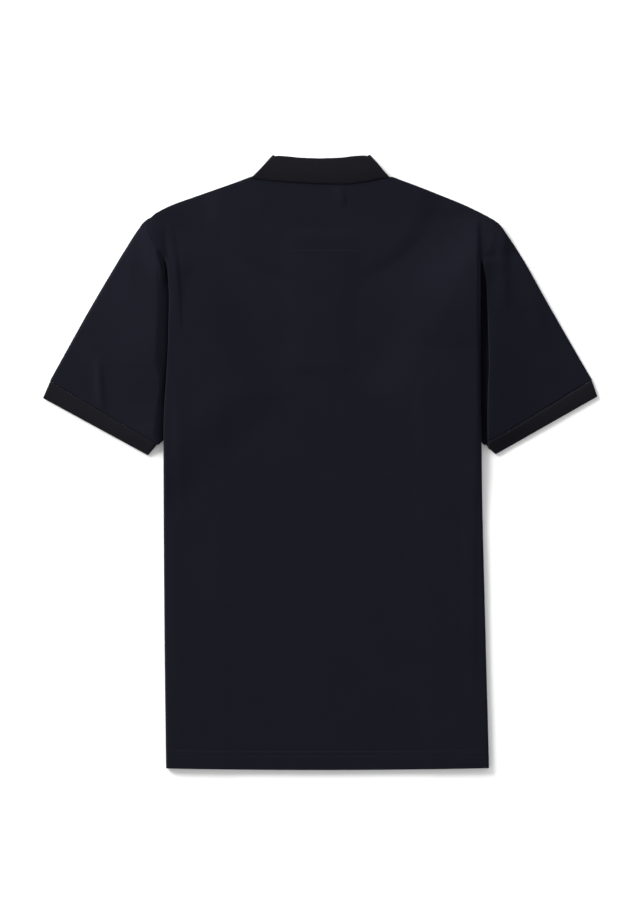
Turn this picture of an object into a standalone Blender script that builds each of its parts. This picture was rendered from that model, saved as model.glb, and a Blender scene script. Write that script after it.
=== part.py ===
"""A men's polo shirt laid face down, back up, with each side of its body folded under.

Metres, +Z up, +Y towards the collar, -X the wearer's left. The floor is z = 0. Each panel is an
open surface along the middle of its cloth, and Solidify gives it its wall. Along a folded side the
layers lie, from the floor up: the sleeve (near the armhole only), the back's flap, the front's
flap, the front and the back.
"""

import math

import bmesh
import bpy
from mathutils import Vector

# Cloth
CLOTH = 0.0012  # wall of the pique panels
RIB = 0.0013  # wall of the knitted collar and cuffs
TAPE = 0.0010  # wall of the placket strips
SEAM_GAP = 0.0003
LAYER = CLOTH + 0.0004  # from the middle of one resting layer to the next
FLOOR_LEVEL = CLOTH / 2

# Body
HEM_Y = -0.3754
HEM_RISE = 0.0020  # how much higher the hem lies at its corners than in the middle
PIT_Y = 0.092
FOLD_TOP_Y = 0.225  # above this the folded side opens out into the armhole seam
FLAP_WIDTH = 0.0635
FOLD_RADIUS = 0.0025  # middle of the back's cloth as it turns under
FLAP_RISE = 2 * FOLD_RADIUS - LAYER  # how far two flaps lift the front
SLEEVE_RISE = 2 * LAYER  # how far a sleeve lifts what lies on it
RAMP = 0.026
SLEEVE_MARGIN = 0.014  # how far past the hidden sleeve its lift stays whole
ARMHOLE_POWER = 1.6
CORNER_X = 0.19
HEM_FADE = (0.04, 0.15)  # heights above the hem between which its curve runs out
FOLD_OPENS = (0.232, 0.282)  # heights between which the folded side opens out
SAG = 0.78  # share of the flaps' rise that the back keeps between them
SAG_RUN = (0.01, 0.12)
SPAN_ENDS = (0.180, 0.290)  # heights between which the back comes down onto the front

# Neck, collar and placket
NECK_FRONT_Y = 0.267
NECK_POWER = 2.2
NECK_RISE = 0.0019  # how far the collar's leaves lift the front
NECK_BACK_RISE = 0.00225
LEAF_CENTRE_Y = 0.345
LEAF_REACH = 0.120
LEAF_RAMP = 0.030
STAND_RADIUS = 0.00095  # the stand and the fall wrap the neck's side creases at these radii
FALL_RADIUS = 0.0028
CREASE_LEVEL = FALL_RADIUS + RIB / 2 + 0.00003
STAND_HEIGHT = 0.030
PLACKET_WIDTH = 0.030
PLACKET_FOOT_Y = 0.117
PLACKET_RISE = 0.00285
PLACKET_BACK_RISE = 0.0034
PLACKET_SIDE_RAMP = (0.004, 0.030)  # distances from the strip's edge
PLACKET_FOOT_RAMP = (-0.030, -0.002)  # heights from the placket's foot
PLACKET_HEAD_RAMP = (0.270, 0.310)
STRIP_STEPS = 6
STRIP_LEVELS = {"placket_over": 0.0028, "placket_under": 0.0041}
BUTTON_RADIUS = 0.00575
BUTTON_HEIGHT = 0.0020
BUTTON_TOP_Y = 0.2535
BUTTON_SPACING = 0.050
BUTTON_ROUND = 0.0006
BUTTON_RIM = 0.0014
BUTTON_SUNK = 0.0004
BUTTON_SIDES = 24
BUTTON_COUNT = 3

# Sleeves
SLEEVE_LEVEL = FLOOR_LEVEL + 0.00003
SLEEVE_TURN = LAYER / 2  # radius of the flattened sleeve's two folds
EDGE_INSET = SLEEVE_TURN + CLOTH / 2
CUFF_TURN = 0.0009
CUFF_LEVEL = RIB / 2 + 0.00003
CUFF_STEPS = 8
PUFF = 0.0008
BODY_CLEARANCE = 0.0010
SLEEVE_OUT = Vector((0.857, 0.515))  # square to the sleeve's outer edge
SEAM_TURNS = 0.16  # share of the armhole in which its seam comes out beside the body
SEAM_RISES = 0.17  # share of the armhole at which its seam starts to rise
SEAM_RUN = 0.20  # share of the sleeve's length in which that rise runs out
INSET_RUN = 0.06
CREST_TOP = (0.235, 0.262)  # heights between which each crest runs out upwards
CREST_FOOT = (-0.010, 0.045)

FINISHES = {
    "pique": {"colour": (0.0110, 0.0112, 0.0180, 1.0), "roughness": 0.90},
    "rib": {"colour": (0.0122, 0.0121, 0.0160, 1.0), "roughness": 0.90},
    "button": {"colour": (0.0100, 0.0100, 0.0140, 1.0), "roughness": 0.35},
}


def table(columns, *rows):
    """A small table, as a dictionary of its columns."""
    return dict(zip(columns.split(), zip(*rows)))


# Half widths of the body from the centre line out to the fold, then up the armhole seam.
BODY_EDGE = table(
    "y left right",
    (-0.3754, 0.1880, 0.2060),
    (-0.2000, 0.1900, 0.2015),
    (-0.0240, 0.1910, 0.1973),
    (0.1000, 0.1895, 0.1957),
    (0.2250, 0.1868, 0.1955),
    (0.2400, 0.1878, 0.1962),
    (0.2500, 0.1920, 0.2010),
    (0.2620, 0.2000, 0.2085),
    (0.2750, 0.2068, 0.2145),
    (0.2893, 0.2096, 0.2182),
    (0.2967, 0.2101, 0.2190),
)

# Height of the back's upper edge: the neck seam, then the shoulder line out to its tip.
BACK_TOP = table(
    "x left right",
    (0.0000, 0.3412, 0.3412),
    (0.0300, 0.3428, 0.3414),
    (0.0600, 0.3472, 0.3440),
    (0.0765, 0.3510, 0.3464),
    (0.0800, 0.3514, 0.3480),
    (0.0870, 0.3470, 0.3478),
    (0.0954, 0.3437, 0.3450),
    (0.1520, 0.3238, 0.3234),
    (0.1770, 0.3150, 0.3131),
    (0.1905, 0.3089, 0.3066),
    (0.2003, 0.3034, 0.3016),
    (0.2101, 0.2967, 0.2961),
    (0.2182, 0.2967, 0.2903),
)
NECK_POINT = {"left": (0.0765, 0.3508), "right": (0.0800, 0.3478)}
SHOULDER_TIP = {"left": (0.2101, 0.2967), "right": (0.2182, 0.2903)}

# Rows of the body grid, up to the fold's top, then as shares of the way to the upper edge.
LOWER_ROWS = (0.0, 0.0205, 0.130, 0.255, 0.3754, 0.405, 0.437, 0.4674, 0.4924, 0.535, 0.570)
LOWER_ROWS += (0.5854, FOLD_TOP_Y - HEM_Y)
UPPER_SHARES = (0.08, 0.16, 0.24, 0.31, 0.38, 0.52, 0.65, 0.78, 0.90, 1.0)
OPENED_SHARE = 0.38
NECK_COLUMNS = (0.38, 0.62, 0.83, 1.0)  # shares of the neck point's distance
SIDE_COLUMNS = (0.25, 0.5, 0.72, 0.88, 1.0)  # shares of the way from there to the fold
ARC_STEPS = 5
FLAP_STEPS = 3

# The lines along a sleeve: where each starts on the armhole, as a share of the way from the pit up
# to the fold's top and then on to the shoulder tip, and where it meets the cuff.
SLEEVE_LINES = table(
    "hidden_share seen_share cuff_share",
    (0.00, 0.00, 0.000),
    (0.33, 0.00, 0.014),
    (0.67, 0.00, 0.028),
    (1.00, 0.00, 0.042),
    (1.00, 0.19, 0.060),
    (1.00, 0.38, 0.110),
    (1.00, 0.52, 0.270),
    (1.00, 0.65, 0.440),
    (1.00, 0.78, 0.630),
    (1.00, 0.90, 0.820),
    (1.00, 1.00, 1.000),
)
SLEEVE_ROWS = (0.0, 0.06, 0.14, 0.24, 0.36, 0.50, 0.64, 0.78, 0.90, 1.0)
# How far the sleeve's outer edge bows out of the straight line from shoulder tip to cuff.
SLEEVE_BOW = table(
    "share left right",
    (0.00, 0.0000, 0.0000),
    (0.05, 0.0036, 0.0018),
    (0.14, 0.0046, 0.0031),
    (0.24, 0.0048, 0.0035),
    (0.50, 0.0042, 0.0018),
    (0.90, 0.0010, 0.0002),
    (1.00, 0.0000, 0.0000),
)
# Corners of the visible sleeve end and cuff: distance from the centre line, and y.
CUFFS = {
    "left": {
        "seam_outer": (0.3295, 0.0985),
        "seam_inner": (0.1985, 0.0217),
        "end_outer": (0.3379, 0.0788),
        "end_inner": (0.2095, 0.0087),
    },
    "right": {
        "seam_outer": (0.3312, 0.1000),
        "seam_inner": (0.2018, 0.0212),
        "end_outer": (0.3380, 0.0807),
        "end_inner": (0.2137, 0.0099),
    },
}
# The soft crest that each sleeve makes beside the folded side: height, and how it spreads.
CREST = {
    "left": {"height": 0.0016, "distance": 0.012, "spread": 0.030},
    "right": {"height": 0.0028, "distance": 0.0095, "spread": 0.026},
}

# The collar, station by station from the centre back to its side crease, in distances from the
# centre line: seam on the neck, roll line and lower edge of the fall.
COLLAR_BACK = {
    "left": table(
        "seam_x roll_x roll_y edge_x edge_y",
        (0.0300, 0.0240, 0.3697, 0.0300, 0.3414),
        (0.0540, 0.0420, 0.3709, 0.0560, 0.3434),
        (0.0690, 0.0520, 0.3716, 0.0730, 0.3454),
    ),
    "right": table(
        "seam_x roll_x roll_y edge_x edge_y",
        (0.0300, 0.0240, 0.3697, 0.0300, 0.3394),
        (0.0560, 0.0430, 0.3712, 0.0560, 0.3424),
        (0.0740, 0.0545, 0.3723, 0.0740, 0.3455),
    ),
}
COLLAR_CENTRE = {"roll": (0.0, 0.3688), "edge": (0.0, 0.3398)}
COLLAR_CREASE = {
    "left": {"seam": (0.0732, 0.3520), "roll": (0.0559, 0.3716), "edge": (0.0731, 0.3524)},
    "right": {"seam": (0.0802, 0.3485), "roll": (0.0596, 0.3721), "edge": (0.0801, 0.3488)},
}
# The collar's leaves under the front: share of the neckline, direction of the stand, how far
# the leaf reaches past the seam, and in which direction.
LEAF = table(
    "share stand_angle reach reach_angle",
    (0.950, 142, 0.004, -35),
    (0.900, 152, 0.009, -28),
    (0.800, 150, 0.014, -30),
    (0.650, 143, 0.017, -37),
    (0.500, 134, 0.020, -45),
    (0.330, 120, 0.029, -39),
    (0.150, 103, 0.040, -37),
    (0.035, 92, 0.049, -38),
)
CREASE_STEPS = 4
ROLL_STEPS = 4
SIGN = {"left": -1, "right": 1}


def lerp(a, b, share):
    return a + (b - a) * share


def smooth(low, high, value):
    """0 below low, 1 above high, and a soft step between."""
    share = min(1.0, max(0.0, (value - low) / (high - low)))
    return share * share * (3 - 2 * share)


def read(source, key, value, column):
    """The column's value where the key column passes value, on straight lines between rows."""
    keys = source[key]
    values = source[column]
    if value <= keys[0]:
        return values[0]
    for i in range(1, len(keys)):
        if value <= keys[i]:
            return lerp(values[i - 1], values[i], (value - keys[i - 1]) / (keys[i] - keys[i - 1]))
    return values[-1]


def front_top(side, x):
    """Height of the front's upper edge: a scooped neckline, then the same shoulder line."""
    neck_x, neck_y = NECK_POINT[side]
    if x >= neck_x:
        return read(BACK_TOP, "x", x, side)
    return NECK_FRONT_Y + (neck_y - NECK_FRONT_Y) * (x / neck_x) ** NECK_POWER


def back_top(side, x):
    return read(BACK_TOP, "x", x, side)


def neck_columns(side):
    """Distances from the centre line of the grid lines that end on the neck seam."""
    return [PLACKET_WIDTH / 2 + SEAM_GAP] + [NECK_POINT[side][0] * share for share in NECK_COLUMNS]


def neck_edge(top, side, x):
    """Height of a panel's neck seam, on the straight runs between its grid lines."""
    columns = neck_columns(side)
    seam = {"x": columns, "y": [top(side, column) for column in columns]}
    return read(seam, "x", x, "y")


def flap_width(y):
    """How far the folded flap reaches back under the body, cut away by the armhole at its top."""
    share = min(1.0, max(0.0, (FOLD_TOP_Y - y) / (FOLD_TOP_Y - PIT_Y)))
    return FLAP_WIDTH * share**ARMHOLE_POWER


def sleeve_lift(inward, y):
    """1 over the hidden part of the sleeve, 0 a ramp's width beyond it."""
    run, rise = FLAP_WIDTH, FOLD_TOP_Y + 0.003 - PIT_Y
    above = (inward * rise + (y - PIT_Y - rise) * run) / math.hypot(run, rise)
    drop = PIT_Y - 0.028
    below = (inward * drop + (PIT_Y - drop - y) * run) / math.hypot(run, drop)
    return 1 - smooth(SLEEVE_MARGIN, SLEEVE_MARGIN + RAMP, max(above, below))


def fold_strength(y):
    return 1 - smooth(*FOLD_OPENS, y)


def placket_lift(x, y):
    across = 1 - smooth(*PLACKET_SIDE_RAMP, abs(x) - PLACKET_WIDTH / 2)
    along = smooth(*PLACKET_FOOT_RAMP, y - PLACKET_FOOT_Y)
    return across * along * (1 - smooth(*PLACKET_HEAD_RAMP, y))


def leaf_lift(x, y):
    distance = math.hypot(x, y - LEAF_CENTRE_Y)
    return 1 - smooth(LEAF_REACH, LEAF_REACH + LEAF_RAMP, distance)


def front_level(x, y, inward):
    """Height of the middle of the front's cloth."""
    width = flap_width(y)
    over_flap = fold_strength(y) * (1 - smooth(width, width + RAMP, inward))
    lifts = (
        FLAP_RISE * over_flap,
        NECK_RISE * leaf_lift(x, y),
        PLACKET_RISE * placket_lift(x, y),
    )
    return FLOOR_LEVEL + max(lifts) + SLEEVE_RISE * sleeve_lift(inward, y)


def back_level(x, y, inward):
    """Height of the middle of the back's cloth, which spans from flap to flap with a slight sag."""
    sag = lerp(1.0, SAG, smooth(*SAG_RUN, inward))
    spans = FLAP_RISE * sag * (1 - smooth(*SPAN_ENDS, y))
    width = flap_width(y)
    over_flap = fold_strength(y) * (1 - smooth(width, width + RAMP, inward))
    lifts = (
        spans,
        FLAP_RISE * over_flap,
        NECK_BACK_RISE * leaf_lift(x, y),
        PLACKET_BACK_RISE * placket_lift(x, y),
    )
    return FLOOR_LEVEL + LAYER + max(lifts) + SLEEVE_RISE * sleeve_lift(inward, y)


def turn_angle(share):
    """How far the side is turned under: half a turn along the fold, next to none at the armhole."""
    return max(1e-3, math.pi * (1 - smooth(0.0, OPENED_SHARE, share)))


def turn_radius(angle):
    return FOLD_RADIUS * max(1.0, math.pi / 2 / angle)


def fold_centre(side, y, angle):
    """Distance from the centre line at which the cloth starts to turn under."""
    edge = read(BODY_EDGE, "y", y, side)
    turned = min(angle, math.pi / 2)
    reach = turn_radius(angle) * math.sin(turned)
    return edge - CLOTH / 2 * math.sin(turned) - reach


def run_marks(arc, flap):
    """Lengths along the turned-under cloth: round the fold, then along the flap."""
    steps = ARC_STEPS + FLAP_STEPS
    wide = [arc * i / ARC_STEPS for i in range(1, ARC_STEPS + 1)]
    wide += [arc + flap * i / FLAP_STEPS for i in range(1, FLAP_STEPS + 1)]
    even = [arc * i / steps for i in range(1, steps + 1)]
    mix = smooth(0.0, 0.006, flap)
    return [lerp(even[i], wide[i], mix) for i in range(steps)]


def half_row(panel, side, lower_y, share):
    """Middle line of one half of a panel, from beside the centre line out to its cut edge."""
    is_back = panel == "back"
    top = back_top if is_back else front_top
    level = back_level if is_back else front_level
    tip_x, tip_y = SHOULDER_TIP[side]
    angle = turn_angle(share) if share else math.pi
    edge_y = lerp(FOLD_TOP_Y, tip_y, share) if share else lower_y
    centre = fold_centre(side, edge_y, angle)
    tip_centre = fold_centre(side, tip_y, turn_angle(1.0))

    def place(x, top_x):
        if share:
            return lerp(FOLD_TOP_Y, top(side, top_x), share)
        return lower_y + HEM_RISE * (x / CORNER_X) ** 2 * (1 - smooth(*HEM_FADE, lower_y - HEM_Y))

    points = []
    inner = neck_columns(side)
    neck_x = inner[-1]
    columns = [(x, x) for x in inner]
    columns += [(lerp(neck_x, centre, part), lerp(neck_x, tip_centre, part)) for part in SIDE_COLUMNS]
    for x, top_x in columns:
        y = place(x, top_x)
        points.append((x, y, level(x, y, centre - x)))

    back_radius = turn_radius(angle)
    radius = back_radius if is_back else back_radius - LAYER
    edge_level = back_level(centre, points[-1][1], 0.0) - back_radius
    arc = radius * angle
    flap_level = FLOOR_LEVEL if is_back else FLOOR_LEVEL + LAYER
    for length in run_marks(arc, flap_width(edge_y) if not share else 0.0):
        part = min(1.0, length / arc)
        y = place(centre, lerp(tip_centre, tip_x, part))
        if length > arc + 1e-9:
            inward = length - arc
            points.append((centre - inward, y, flap_level + SLEEVE_RISE * sleeve_lift(inward, y)))
        else:
            turned = angle * part
            points.append((centre + radius * math.sin(turned), y, edge_level + radius * math.cos(turned)))
    return [Vector((SIGN[side] * x, y, z)) for x, y, z in points]


def panel_rows(panel):
    """Grid of points of the back or the front, from one flap's edge to the other's."""
    rows = [(HEM_Y + rise, 0.0) for rise in LOWER_ROWS] + [(FOLD_TOP_Y, share) for share in UPPER_SHARES]
    grid = []
    for lower_y, share in rows:
        left = half_row(panel, "left", lower_y, share)
        right = half_row(panel, "right", lower_y, share)
        grid.append(left[::-1] + right)
    return grid


def armhole_plan(side, y):
    """Distance from the centre line of the sleeve's armhole seam, hidden or beside the body."""
    tip_y = SHOULDER_TIP[side][1]
    share = (y - FOLD_TOP_Y) / (tip_y - FOLD_TOP_Y)
    hidden = fold_centre(side, min(y, FOLD_TOP_Y), math.pi) - flap_width(y)
    beside = read(BODY_EDGE, "y", y, side) + 2 * SEAM_GAP
    return lerp(hidden, beside, smooth(0.0, SEAM_TURNS, share))


def armhole_rise(side, y):
    """How far the visible armhole seam stands above a sleeve that lies flat."""
    tip_y = SHOULDER_TIP[side][1]
    share = (y - FOLD_TOP_Y) / (tip_y - FOLD_TOP_Y)
    level = back_level(read(BODY_EDGE, "y", y, side), y, 0.0)
    return (level - FLOOR_LEVEL - LAYER) * smooth(SEAM_RISES, OPENED_SHARE, share)


def crest_rise(side, x, y):
    """Height of the soft crest beside the folded side, low against the body and fading outwards."""
    crest = CREST[side]
    out = x - read(BODY_EDGE, "y", min(y, FOLD_TOP_Y), side) - BODY_CLEARANCE
    if out <= 0:
        return 0.0
    peak = crest["distance"] - BODY_CLEARANCE
    profile = smooth(0.0, peak, out) if out < peak else math.exp(-(out - peak) / crest["spread"])
    return crest["height"] * profile * (1 - smooth(*CREST_TOP, y)) * smooth(*CREST_FOOT, y)


def sleeve_ring(side, share):
    """One closed ring round the flattened sleeve, at this share of its length."""
    cuff = CUFFS[side]
    inner, outer = Vector(cuff["seam_inner"]), Vector(cuff["seam_outer"])
    tip_y = SHOULDER_TIP[side][1]
    bow = read(SLEEVE_BOW, "share", share, side)
    top, bottom = [], []
    for hidden_share, seen_share, cuff_share in zip(*SLEEVE_LINES.values()):
        seam_y = lerp(PIT_Y, FOLD_TOP_Y, hidden_share) + (tip_y - EDGE_INSET - FOLD_TOP_Y) * seen_share
        start = Vector((armhole_plan(side, seam_y), seam_y))
        end = inner.lerp(outer, cuff_share)
        outwards = bow - EDGE_INSET * smooth(0.0, INSET_RUN, share)
        plan = start.lerp(end, share) + SLEEVE_OUT * outwards * cuff_share
        near = 1 - smooth(0.0, SEAM_RUN, share)
        lift = armhole_rise(side, seam_y) * near
        puff = PUFF * math.sin(math.pi * share) * math.sin(math.pi * cuff_share)
        raised = lift + puff + crest_rise(side, plan.x, plan.y)
        bottom.append((plan.x, plan.y, SLEEVE_LEVEL + lift))
        top.append((plan.x, plan.y, SLEEVE_LEVEL + LAYER + raised))
    return closed_ring(side, top, bottom, SLEEVE_TURN)


def closed_ring(side, top, bottom, turn):
    """Joins a top and a bottom run of points into one ring, with a rounded fold at each end."""
    ring = list(bottom)
    for i, back_to in ((-1, -2), (0, 1)):
        across = Vector(bottom[i]).xy - Vector(bottom[back_to]).xy
        across.normalize()
        edge = Vector(bottom[i]).xy + across * turn
        fold = (edge.x, edge.y, (top[i][2] + bottom[i][2]) / 2)
        if i == -1:
            ring.append(fold)
            ring.extend(reversed(top))
        else:
            ring.append(fold)
    return [Vector((SIGN[side] * x, y, z)) for x, y, z in ring]


def cuff_ring(side, share):
    """One closed ring round a cuff, from the seam on the sleeve to the cuff's own end."""
    cuff = CUFFS[side]
    starts = {"inner": Vector(cuff["seam_inner"]), "outer": Vector(cuff["seam_outer"])}
    ends = {"inner": Vector(cuff["end_inner"]), "outer": Vector(cuff["end_outer"])}
    gap = SEAM_GAP / (ends["outer"] - starts["outer"]).length
    inner = starts["inner"].lerp(ends["inner"], lerp(gap, 1.0, share))
    outer = starts["outer"].lerp(ends["outer"], lerp(gap, 1.0, share))
    inset = (CUFF_TURN + RIB / 2) / (outer - inner).length
    top, bottom = [], []
    for i in range(CUFF_STEPS + 1):
        plan = inner.lerp(outer, lerp(inset, 1 - inset, i / CUFF_STEPS))
        bottom.append((plan.x, plan.y, CUFF_LEVEL))
        top.append((plan.x, plan.y, CUFF_LEVEL + 2 * CUFF_TURN))
    return closed_ring(side, top, bottom, CUFF_TURN)


def collar_section(seam, roll, edge, turn, out):
    """Hairpin across the collar: up the stand, over the roll line, down the fall."""
    rise = (roll - seam).normalized()
    fall = (edge - roll).normalized()
    middle = (STAND_RADIUS + FALL_RADIUS) / 2
    half = (FALL_RADIUS - STAND_RADIUS) / 2
    marks = [(seam, STAND_RADIUS), (seam.lerp(roll, 0.5), STAND_RADIUS), (roll, STAND_RADIUS)]
    for i in range(1, ROLL_STEPS):
        angle = math.pi * i / ROLL_STEPS
        over = (rise - fall).normalized() * half * math.sin(angle)
        marks.append((roll + over, middle - half * math.cos(angle)))
    marks += [(roll, FALL_RADIUS), (roll.lerp(edge, 0.5), FALL_RADIUS), (edge, FALL_RADIUS)]
    points = []
    for plan, radius in marks:
        shifted = plan + out * radius * math.sin(turn)
        points.append(Vector((shifted.x, shifted.y, CREASE_LEVEL + radius * math.cos(turn))))
    return points


def collar_half(side):
    """The collar's sections from beside the centre back, round the side crease, to its leaf's end."""
    stations = []
    back = COLLAR_BACK[side]
    for seam_x, roll_x, roll_y, edge_x, edge_y in zip(*back.values()):
        seam_y = neck_edge(back_top, side, seam_x) + SEAM_GAP
        stations.append((Vector((seam_x, seam_y)), Vector((roll_x, roll_y)), Vector((edge_x, edge_y))))
    seam, roll, edge = (Vector(COLLAR_CREASE[side][name]) for name in ("seam", "roll", "edge"))
    stations.append((seam, roll, edge))
    up = (roll - seam).normalized()
    out = Vector((up.y, -up.x))
    sections = [collar_section(*station, 0.0, out) for station in stations]
    for i in range(1, CREASE_STEPS + 1):
        sections.append(collar_section(seam, roll, edge, math.pi * i / CREASE_STEPS, out))
    neck_x = NECK_POINT[side][0]
    for share, stand_angle, reach, reach_angle in zip(*LEAF.values()):
        x = neck_x * share
        along = Vector((math.cos(math.radians(stand_angle)), math.sin(math.radians(stand_angle))))
        down = Vector((math.cos(math.radians(reach_angle)), math.sin(math.radians(reach_angle))))
        seam = Vector((x, neck_edge(front_top, side, x))) + along * SEAM_GAP
        roll = seam + along * STAND_HEIGHT
        sections.append(collar_section(seam, roll, seam + down * reach, math.pi, out))
    return [[Vector((SIGN[side] * p.x, p.y, p.z)) for p in section] for section in sections]


def collar_rows():
    seam_y = max(neck_edge(back_top, side, 0.0) for side in SIGN) + SEAM_GAP
    roll, edge = (Vector(COLLAR_CENTRE[name]) for name in ("roll", "edge"))
    middle = collar_section(Vector((0.0, seam_y)), roll, edge, 0.0, Vector((1.0, 0.0)))
    return collar_half("left")[::-1] + [middle] + collar_half("right")


def material(name):
    found = bpy.data.materials.get(name)
    if found:
        return found
    made = bpy.data.materials.new(name)
    made.use_nodes = True
    shader = made.node_tree.nodes["Principled BSDF"]
    shader.inputs["Base Color"].default_value = FINISHES[name]["colour"]
    shader.inputs["Roughness"].default_value = FINISHES[name]["roughness"]
    shader.inputs["Metallic"].default_value = 0.0
    return made


def grid_mesh(name, rows, closed=False, keep=None):
    """Open surface through a grid of points, each row closed into a ring on request."""
    work = bmesh.new()
    grid = [[work.verts.new(point) for point in row] for row in rows]
    columns = len(rows[0])
    for i in range(len(rows) - 1):
        for j in range(columns if closed else columns - 1):
            k = (j + 1) % columns
            corners = (grid[i][j], grid[i][k], grid[i + 1][k], grid[i + 1][j])
            if keep is None or keep(corners):
                work.faces.new(corners)
    bmesh.ops.delete(work, geom=[v for v in work.verts if not v.link_faces], context="VERTS")
    mesh = bpy.data.meshes.new(name)
    work.to_mesh(mesh)
    work.free()
    return mesh


def add_cloth(name, rows, wall, finish, home, closed=False, keep=None):
    mesh = grid_mesh(name, rows, closed, keep)
    mesh.materials.append(material(finish))
    mesh.shade_smooth()
    piece = bpy.data.objects.new(name, mesh)
    home.objects.link(piece)
    solidify = piece.modifiers.new("Wall", "SOLIDIFY")
    solidify.thickness = wall
    solidify.offset = 0.0
    solidify.use_even_offset = True
    solidify.use_rim = True


def outside_placket(corners):
    """Keeps the front's faces off the slit that the placket fills."""
    middle = sum((v.co for v in corners), Vector()) / len(corners)
    return abs(middle.x) > PLACKET_WIDTH / 2 or middle.y < PLACKET_FOOT_Y


def add_strip(name, level, home):
    half = PLACKET_WIDTH / 2
    foot = PLACKET_FOOT_Y + SEAM_GAP
    head = NECK_FRONT_Y - SEAM_GAP
    rows = []
    for i in range(STRIP_STEPS + 1):
        y = lerp(foot, head, i / STRIP_STEPS)
        rows.append([Vector((x, y, level)) for x in (-half, 0.0, half)])
    add_cloth(name, rows, TAPE, "pique", home)


def button_profile():
    """Outline of a turned button from the axis down its outer side, with a sunk middle below."""
    radius = BUTTON_RADIUS
    profile = (
        (0.0, BUTTON_HEIGHT),
        (radius - BUTTON_ROUND, BUTTON_HEIGHT),
        (radius, BUTTON_HEIGHT - BUTTON_ROUND),
        (radius, BUTTON_ROUND),
        (radius - BUTTON_ROUND, 0.0),
        (radius - BUTTON_RIM, 0.0),
        (radius - BUTTON_RIM - BUTTON_ROUND, BUTTON_SUNK),
        (0.0, BUTTON_SUNK),
    )
    work = bmesh.new()
    points = [work.verts.new((x, 0.0, z)) for x, z in profile]
    for pair in zip(points, points[1:]):
        work.edges.new(pair)
    mesh = bpy.data.meshes.new("button_profile")
    work.to_mesh(mesh)
    work.free()
    mesh.materials.append(material("button"))
    return mesh


def add_button(name, mesh, y, home):
    """A button whose rimmed side faces the floor."""
    piece = bpy.data.objects.new(name, mesh)
    home.objects.link(piece)
    piece.location = (0.0, y, 0.0)
    screw = piece.modifiers.new("Turned", "SCREW")
    screw.axis = "Z"
    screw.angle = 2 * math.pi
    screw.steps = BUTTON_SIDES
    screw.render_steps = BUTTON_SIDES
    screw.use_merge_vertices = True
    screw.merge_threshold = 1e-5


def main():
    for leftover in list(bpy.data.objects):
        bpy.data.objects.remove(leftover, do_unlink=True)
    home = bpy.data.collections.new("polo_shirt")
    bpy.context.scene.collection.children.link(home)
    add_cloth("back", panel_rows("back"), CLOTH, "pique", home)
    add_cloth("front", panel_rows("front"), CLOTH, "pique", home, keep=outside_placket)
    for side in ("left", "right"):
        rings = [sleeve_ring(side, share) for share in SLEEVE_ROWS]
        add_cloth(f"sleeve_{side}", rings, CLOTH, "pique", home, closed=True)
        rings = [cuff_ring(side, share) for share in (0.0, 0.5, 1.0)]
        add_cloth(f"cuff_{side}", rings, RIB, "rib", home, closed=True)
    add_cloth("collar", collar_rows(), RIB, "rib", home)
    for name, level in STRIP_LEVELS.items():
        add_strip(name, level, home)
    profile = button_profile()
    for i in range(BUTTON_COUNT):
        add_button(f"button_{i + 1}", profile, BUTTON_TOP_Y - i * BUTTON_SPACING, home)


main()
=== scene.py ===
# %% [markdown]
# # A polo shirt, laid flat
# The shirt lies face down with its back up, and each side of its body is folded under. A packed
# model of plain solids gives the frame: every cloth below is a finer shell on the form of its own
# solid, in metres, with +Y towards the collar, +Z up and the wearer's left at -X.

# %% Load the frame
import bisect
import math
from functools import partial

import bmesh
import bpy
from mathutils import Matrix, Vector, noise


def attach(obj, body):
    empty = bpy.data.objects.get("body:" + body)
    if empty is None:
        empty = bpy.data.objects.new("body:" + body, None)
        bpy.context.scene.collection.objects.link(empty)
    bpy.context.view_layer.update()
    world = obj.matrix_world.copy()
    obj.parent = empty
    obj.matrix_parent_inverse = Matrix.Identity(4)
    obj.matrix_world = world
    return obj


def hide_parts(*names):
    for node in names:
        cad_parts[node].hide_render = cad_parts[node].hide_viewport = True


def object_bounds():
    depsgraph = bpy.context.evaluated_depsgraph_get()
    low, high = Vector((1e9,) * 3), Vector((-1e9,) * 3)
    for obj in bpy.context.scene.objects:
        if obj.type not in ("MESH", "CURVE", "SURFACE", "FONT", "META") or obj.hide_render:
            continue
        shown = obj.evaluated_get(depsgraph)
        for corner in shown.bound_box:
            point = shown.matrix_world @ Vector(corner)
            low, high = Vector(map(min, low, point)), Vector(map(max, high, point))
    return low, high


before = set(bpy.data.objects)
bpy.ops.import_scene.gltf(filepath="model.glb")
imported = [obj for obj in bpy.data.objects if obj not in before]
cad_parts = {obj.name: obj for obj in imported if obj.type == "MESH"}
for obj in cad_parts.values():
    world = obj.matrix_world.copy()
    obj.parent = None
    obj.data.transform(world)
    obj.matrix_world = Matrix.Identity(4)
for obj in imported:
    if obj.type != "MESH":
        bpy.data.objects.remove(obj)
cad_low, cad_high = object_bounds()
cad_sides = [round(1000 * side) for side in cad_high - cad_low]
print(len(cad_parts), "solids in a box of, mm:", cad_sides)

# %% [markdown]
# Cloth has no straight lines, so the outlines below are short tables of measured points that a
# smooth curve passes through. A table states its lengths in millimetres and keeps them in metres.
# Three small helpers do the rest: a straight mix, a soft step, and a curve that never overshoots
# the rows it passes.


# %% Helpers for lines and steps
def lerp(a, b, share):
    return a + (b - a) * share


def smooth(low, high, value):
    """0 below low, 1 above high, and a soft step between."""
    share = min(1.0, max(0.0, (value - low) / (high - low)))
    return share * share * (3 - 2 * share)


def table(columns, *rows, plain=""):
    """A small table of lengths in millimetres, as a dictionary of its columns in metres. The
    columns named in plain are shares or angles and stay as they are."""
    units = {name: 1 if name in plain.split() else 1000 for name in columns.split()}
    return {name: [value / units[name] for value in column] for name, column in zip(units, zip(*rows))}


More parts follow.
